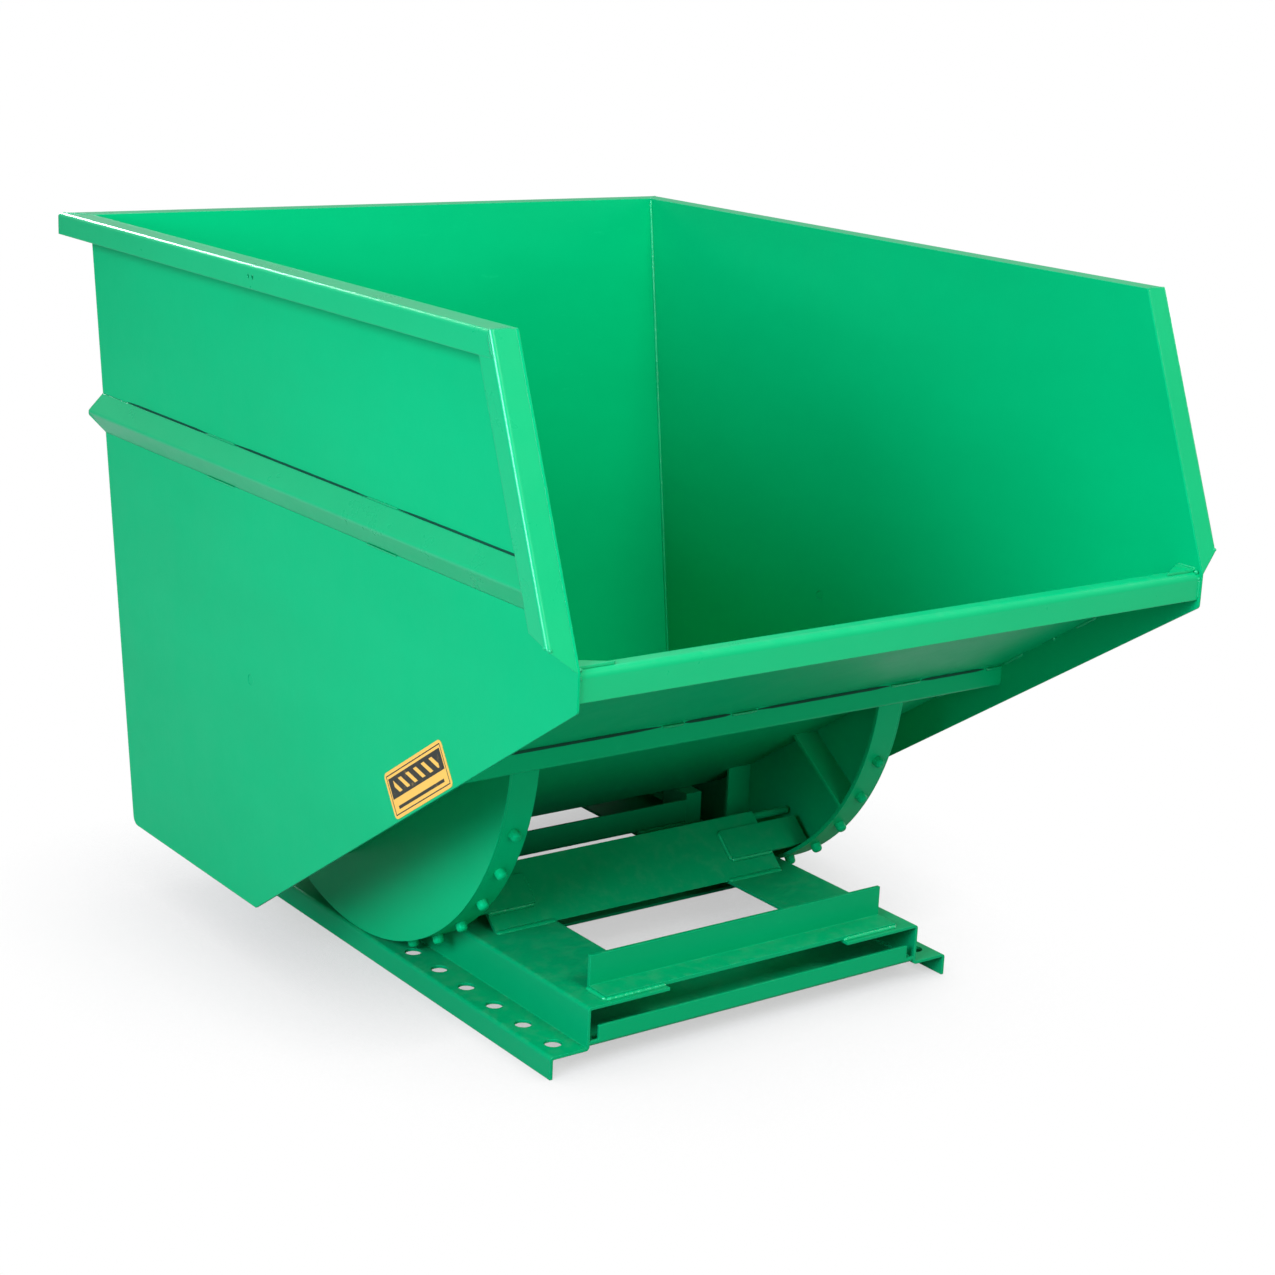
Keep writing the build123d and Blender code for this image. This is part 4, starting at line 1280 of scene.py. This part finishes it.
@dataclass
class Rockers:
    """The two rockers with their studs, gussets and the cross brace in front of them."""

    finishes: Finishes
    roll_radius: float = 0.559
    strip: float = 0.008
    outside: float = 0.480
    plate: float = 0.006
    axis: Vector = field(default_factory=lambda: Vector((0, 0.167, 0.6043)))
    weld_start_lap: float = 0.03
    weld_end: float = math.radians(128)
    strip_leg: float = 0.005
    brace_leg: float = 0.006
    brace_welds: tuple[tuple[float, float], ...] = (
        (-0.715, -0.640),
        (-0.165, -0.115),
        (0.000, 0.062),
        (0.406, 0.486),
        (0.668, 0.712),
    )
    brace_gaps: tuple[tuple[float, float], ...] = (
        (-0.636, -0.168),
        (-0.112, -0.003),
        (0.065, 0.403),
        (0.489, 0.664),
    )
    brace_gap_width: float = 0.0060
    nodes: tuple[str, ...] = (
        "cross_brace",
        "rocker_plate_left",
        "rocker_plate_right",
        "rocker_strip_left",
        "rocker_strip_right",
        "rocker_studs_left",
        "rocker_studs_right",
        "rocker_gussets_left",
        "rocker_gussets_right",
    )

    def dress_nodes(self) -> None:
        """Give the rockers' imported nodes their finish."""
        dress((*self.nodes, "roll_axis_slugs"), self.finishes.shell)

    def weld(self) -> bpy.types.Object:
        """Weld strips to plates and gussets, and the brace to the floor in short runs.

        Returns:
            The piece.
        """
        welds = WeldSet("rocker_welds", Body.BIN, Slot.BIN)
        low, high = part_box("cross_brace")
        inner_radius = self.roll_radius - self.strip
        front = math.asin((self.axis.z - low.z) / inner_radius) + self.weld_start_lap
        for _, side in SIDES:
            centre = Vector((side * (self.outside - self.plate), self.axis.y, self.axis.z))
            arc = ArcRun(centre, inner_radius, front, self.weld_end, RIGHT * -side, self.strip_leg)
            welds.runs.append(arc)
        height = high.z - self.brace_leg / 2
        for start, end in self.brace_welds:
            near, far = Vector((start, low.y, height)), Vector((end, low.y, height))
            welds.runs.append(StraightRun(near, far, -BACK, -UP, self.brace_leg))
        return welds.build(self.finishes.bead)

    def gap_shadows(self) -> bpy.types.Object:
        """Paint shadow strips along the brace's upper edge where no weld closes the gap.

        Returns:
            The piece.
        """
        seams = ShadowStripSet("brace_gap_shadows", Body.BIN, Slot.BIN)
        low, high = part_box("cross_brace")
        off_brace, below_edge = 0.0004, 0.004
        face, height = low.y - off_brace, high.z - below_edge
        for start, end in self.brace_gaps:
            near, far = Vector((start, face, height)), Vector((end, face, height))
            seams.add(near, far, UP, -BACK, self.brace_gap_width)
        return seams.build(self.finishes.open_joint)


@dataclass
class ForkBase:
    """The base: two rails, straps, stop angle, ridge with retainers, stop bar, rests and keeper."""

    finishes: Finishes
    rail_sheet: float = 0.006
    ridge_foot_y: float = -0.179
    ridge_lean: float = math.radians(41.2)
    retainer_x: tuple[float, float] = (0.250, 0.360)
    retainer_rise: tuple[float, float] = (0.046, 0.114)
    stop_leg: float = 0.006
    strap_leg: float = 0.0045
    ridge_leg: float = 0.0065
    rest_leg: float = 0.005
    nodes: tuple[str, ...] = (
        "rail_left",
        "rail_right",
        "front_stop_angle",
        "front_bottom_strap",
        "middle_bottom_strap",
        "rear_bottom_strap",
        "rear_top_tie",
        "ridge_plate",
        "rocker_retainers",
        "roll_stop_bar",
        "rest_angle",
        "rest_blocks",
        "keeper_plate",
        "keeper_lugs",
        "keeper_bar",
    )

    def dress_nodes(self) -> None:
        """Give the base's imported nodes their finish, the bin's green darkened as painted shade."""
        dress(self.nodes, self.finishes.base)

    def weld(self) -> bpy.types.Object:
        """Weld the cross members to the rails, and the retainers to the ridge.

        Returns:
            The piece.
        """
        welds = WeldSet("base_welds", Body.BASE, Slot.BASE)
        self._weld_stop(welds)
        self._weld_straps(welds)
        self._weld_ridge(welds)
        self._weld_rests(welds)
        return welds.build(self.finishes.bead)

    def _foot(self, node: str, side: int, trim: float = 0.0) -> tuple[Vector, Vector, Vector, Vector]:
        """Give the corners of a cross member's foot where it stands on a rail.

        Args:
            node: the cross member's node.
            side: -1 for the left rail, 1 for the right.
            trim: how far the outer corners stay inside the member's end.

        Returns:
            The corners: front inner, front outer, rear outer and rear inner.
        """
        low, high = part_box(node)
        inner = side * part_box("rail_right")[0].x
        outer = side * (high.x - trim)
        return (
            Vector((inner, low.y, low.z)),
            Vector((outer, low.y, low.z)),
            Vector((outer, high.y, low.z)),
            Vector((inner, high.y, low.z)),
        )

    def _weld_stop(self, welds: WeldSet) -> None:
        """Weld the stop angle's foot and ends to the rails.

        Args:
            welds: the set to add to.
        """
        for _, side in SIDES:
            corners = self._foot("front_stop_angle", side)
            for start, end, out in zip(corners, corners[1:], (-BACK, RIGHT * side, BACK)):
                welds.runs.append(StraightRun(start, end, out, UP, self.stop_leg))

    def _weld_straps(self, welds: WeldSet) -> None:
        """Weld the bottom straps and the rear tie to the rails.

        Args:
            welds: the set to add to.
        """
        front_gap, rear_gap = 0.012, 0.002
        for name in ("front_bottom_strap", "middle_bottom_strap", "rear_bottom_strap"):
            low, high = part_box(name)
            height = low.z + self.rail_sheet
            for _, side in SIDES:
                near = Vector((side * high.x, low.y + front_gap, height))
                far = Vector((side * high.x, high.y - rear_gap, height))
                welds.runs.append(StraightRun(near, far, RIGHT * -side, UP, self.strap_leg))
        for _, side in SIDES:
            corners = self._foot("rear_top_tie", side)
            for start, end, out in zip(corners, corners[1:3], (-BACK, RIGHT * side)):
                welds.runs.append(StraightRun(start, end, out, UP, self.rest_leg))

    def _weld_ridge(self, welds: WeldSet) -> None:
        """Weld the ridge to the rails and its two retainers along their edges.

        Args:
            welds: the set to add to.
        """
        up_ridge = Vector((0, math.cos(self.ridge_lean), math.sin(self.ridge_lean)))
        out = Vector((0, -math.sin(self.ridge_lean), math.cos(self.ridge_lean)))
        foot = Vector((0, self.ridge_foot_y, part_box("ridge_plate")[0].z))
        lower, upper = (foot + up_ridge * rise for rise in self.retainer_rise)
        for _, side in SIDES:
            near, far, _, _ = self._foot("ridge_plate", side)
            near.y = far.y = foot.y
            welds.runs.append(StraightRun(near, far, -BACK, up_ridge, self.ridge_leg))
            inner, outer = (RIGHT * side * x for x in self.retainer_x)
            welds.runs.append(StraightRun(inner + lower, inner + upper, RIGHT * -side, out, self.stop_leg))
            welds.runs.append(StraightRun(inner + lower, outer + lower, -up_ridge, out, self.stop_leg))

    def _weld_rests(self, welds: WeldSet) -> None:
        """Weld the rest angle.

        Args:
            welds: the set to add to.
        """
        for _, side in SIDES:
            front_in, front_out, rear_out, rear_in = self._foot("rest_angle", side, trim=0.001)
            welds.runs.append(StraightRun(front_in, front_out, -BACK, UP, self.rest_leg))
            welds.runs.append(StraightRun(rear_in, rear_out, BACK, UP, self.rest_leg))


@dataclass
class Latch:
    """The rear latch: shaft, hook, lever, grip and hubs, with the brackets on the rear wall."""

    finishes: Finishes
    shell: BinShell
    bracket_x: tuple[float, ...] = (-0.640, -0.075, 0.075)
    bracket_half: float = 0.005
    bracket_low: float = 0.507
    bracket_high: float = 0.613
    bracket_leg: float = 0.005
    nodes: tuple[str, ...] = (
        "latch_shaft",
        "latch_hook",
        "release_lever",
        "release_grip",
        "shaft_hubs",
        "latch_brackets",
    )

    def dress_nodes(self) -> None:
        """Give the latch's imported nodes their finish."""
        dress(self.nodes, self.finishes.latch)

    def weld(self) -> bpy.types.Object:
        """Weld the brackets to the rear wall.

        Returns:
            The piece.
        """
        welds = WeldSet("bracket_welds", Body.BIN, Slot.BIN)
        for middle in self.bracket_x:
            for _, side in SIDES:
                x = middle + side * self.bracket_half
                foot = Vector((x, self.shell.wall_outside(self.bracket_low), self.bracket_low))
                head = Vector((x, self.shell.wall_outside(self.bracket_high), self.bracket_high))
                welds.runs.append(StraightRun(foot, head, RIGHT * side, BACK, self.bracket_leg))
        return welds.build(self.finishes.bead)


# ---------------------------------------------------------------- studio


@dataclass(frozen=True)
class SoftLight:
    """A square soft light that points at the hopper."""

    name: str
    place: tuple[float, float, float]
    size: float
    power: float
    colour: tuple[float, float, float] = (1.0, 1.0, 1.0)

    def hang(self, target: Vector) -> None:
        """Add the light to the scene.

        Args:
            target: the point it faces.
        """
        data = bpy.data.lights.new(self.name, "AREA")
        data.shape = "SQUARE"
        data.size = self.size
        data.energy = self.power
        data.color = self.colour
        lamp = bpy.data.objects.new(self.name, data)
        lamp.location = self.place
        lamp.rotation_mode = "QUATERNION"
        lamp.rotation_quaternion = (target - lamp.location).to_track_quat("-Z", "Y")
        bpy.context.scene.collection.objects.link(lamp)


@dataclass
class Studio:
    """Pale floor, soft lights and the camera."""

    floor_half: float = 30.0
    floor_roughness: float = 0.9
    floor_specular: float = 0.1
    bounce: float = 0.34
    shade_grey: float = 0.3
    shade_reach: float = 0.45
    shade_depth: float = 0.5
    ambient: float = 0.30
    target: Vector = field(default_factory=lambda: Vector((0, 0, 0.7)))
    soft_lights: tuple[SoftLight, ...] = (
        SoftLight("key_light", (-5.5, -2.2, 3.0), 2.6, 480.0, (0.70, 0.81, 1.0)),
        SoftLight("high_light", (0.3, -4.6, 5.4), 2.4, 255.0),
        SoftLight("front_light", (-0.4, -6.8, 2.4), 2.4, 95.0),
        SoftLight("rear_light", (0.2, 7.0, 3.7), 2.0, 270.0, (0.9, 0.95, 1.0)),
        SoftLight("right_light", (6.0, 0.2, 2.8), 3.0, 190.0, (0.9, 0.95, 1.0)),
        SoftLight("top_light", (0.5, 1.0, 6.0), 3.0, 150.0, (0.66, 0.78, 1.0)),
    )
    camera_place: Vector = field(default_factory=lambda: Vector((-2.8948, -4.0149, 2.0206)))
    azimuth: float = -0.6383
    elevation: float = 0.2716
    roll: float = 0.0449
    lens: float = 70.89
    sensor: float = 36.0
    camera_reach: tuple[float, float] = (0.05, 100.0)

    def floor(self) -> None:
        """Lay a floor that bounces light and shows only its soft shade, so a rolled bin's nose is seen."""
        mesh = bmesh.new()
        bmesh.ops.create_grid(mesh, x_segments=1, y_segments=1, size=self.floor_half)
        data = bpy.data.meshes.new("studio_floor")
        mesh.to_mesh(data)
        mesh.free()
        ground = bpy.data.objects.new("studio_floor", data)
        bpy.context.scene.collection.objects.link(ground)
        data.materials.append(self._floor_material())

    def _floor_material(self) -> bpy.types.Material:
        """Make the floor's material.

        Returns:
            A material that is pale to bounced light, clear to lamps, and seen only as shade.
        """
        material = bpy.data.materials.new("studio_floor")
        material.use_nodes = True
        shader = material.node_tree.nodes["Principled BSDF"]
        sheet = NodeSheet(material.node_tree)
        rays = sheet.add("ShaderNodeLightPath")
        seen = rays.outputs["Is Camera Ray"]
        grey, white = self.shade_grey, self.bounce
        tint = sheet.blend(seen, (white, white, white, 1), (grey, grey, grey, 1))
        sheet.feed(shader.inputs["Base Color"], tint)
        shader.inputs["Roughness"].default_value = self.floor_roughness
        shader.inputs["Specular IOR Level"].default_value = self.floor_specular
        nearby = sheet.add("ShaderNodeAmbientOcclusion", samples=12)
        nearby.inputs["Distance"].default_value = self.shade_reach
        covered = sheet.math("SUBTRACT", 1.0, nearby.outputs["AO"])
        shade = sheet.math("MULTIPLY", covered, self.shade_depth, clamp=True)
        clearness = sheet.math("SUBTRACT", 1.0, shade)
        hidden = sheet.math("MULTIPLY_ADD", seen, clearness, rays.outputs["Is Shadow Ray"], clamp=True)
        clear = sheet.add("ShaderNodeBsdfTransparent")
        mixed = sheet.add("ShaderNodeMixShader")
        sheet.feed(mixed.inputs[0], hidden)
        sheet.feed(mixed.inputs[1], shader.outputs[0])
        sheet.feed(mixed.inputs[2], clear.outputs[0])
        sheet.feed(material.node_tree.nodes["Material Output"].inputs["Surface"], mixed.outputs[0])
        return material

    def lights(self) -> None:
        """Hang the soft lights and light the surroundings."""
        world = bpy.data.worlds.new("studio_world")
        world.use_nodes = True
        sheet = NodeSheet(world.node_tree)
        back = world.node_tree.nodes["Background"]
        back.inputs["Color"].default_value = (1, 1, 1, 1)
        seen = sheet.add("ShaderNodeLightPath").outputs["Is Camera Ray"]
        sheet.feed(back.inputs["Strength"], sheet.math("MULTIPLY_ADD", seen, 1 - self.ambient, self.ambient))
        bpy.context.scene.world = world
        for light in self.soft_lights:
            light.hang(self.target)

    def camera(self) -> None:
        """Set up the camera and the picture's colours."""
        data = bpy.data.cameras.new("studio_camera")
        data.sensor_width = self.sensor
        data.lens = self.lens
        data.clip_start, data.clip_end = self.camera_reach
        camera = bpy.data.objects.new("studio_camera", data)
        level = math.cos(self.elevation)
        away = Vector((
            math.sin(self.azimuth) * level,
            -math.cos(self.azimuth) * level,
            math.sin(self.elevation),
        ))
        camera.location = self.camera_place
        camera.rotation_mode = "QUATERNION"
        camera.rotation_quaternion = (-away).to_track_quat("-Z", "Y") @ Quaternion(UP, self.roll)
        bpy.context.scene.collection.objects.link(camera)
        bpy.context.scene.camera = camera
        bpy.context.scene.view_settings.view_transform = "Standard"
        bpy.context.scene.view_settings.look = "None"


def main() -> None:
    """Build every sub-assembly in order and report each piece."""
    logging.basicConfig(level=logging.INFO, format="%(name)s: %(message)s")
    finishes = Finishes.make()
    shell = BinShell(finishes)
    rockers = Rockers(finishes)
    base = ForkBase(finishes)
    latch = Latch(finishes, shell)
    for assembly in (shell, rockers, base, latch):
        assembly.dress_nodes()
    shell.hazard_plate()
    for build in (
        shell.weld_inside,
        shell.weld_lip,
        shell.weld_mouth,
        shell.weld_outside,
        shell.gap_shadows,
        rockers.weld,
        rockers.gap_shadows,
        base.weld,
        latch.weld,
    ):
        piece = build()
        LOG.info("%s: %d faces", piece.name, len(piece.data.polygons))
    studio = Studio()
    studio.floor()
    studio.lights()
    studio.camera()


if __name__ == "__main__":
    main()
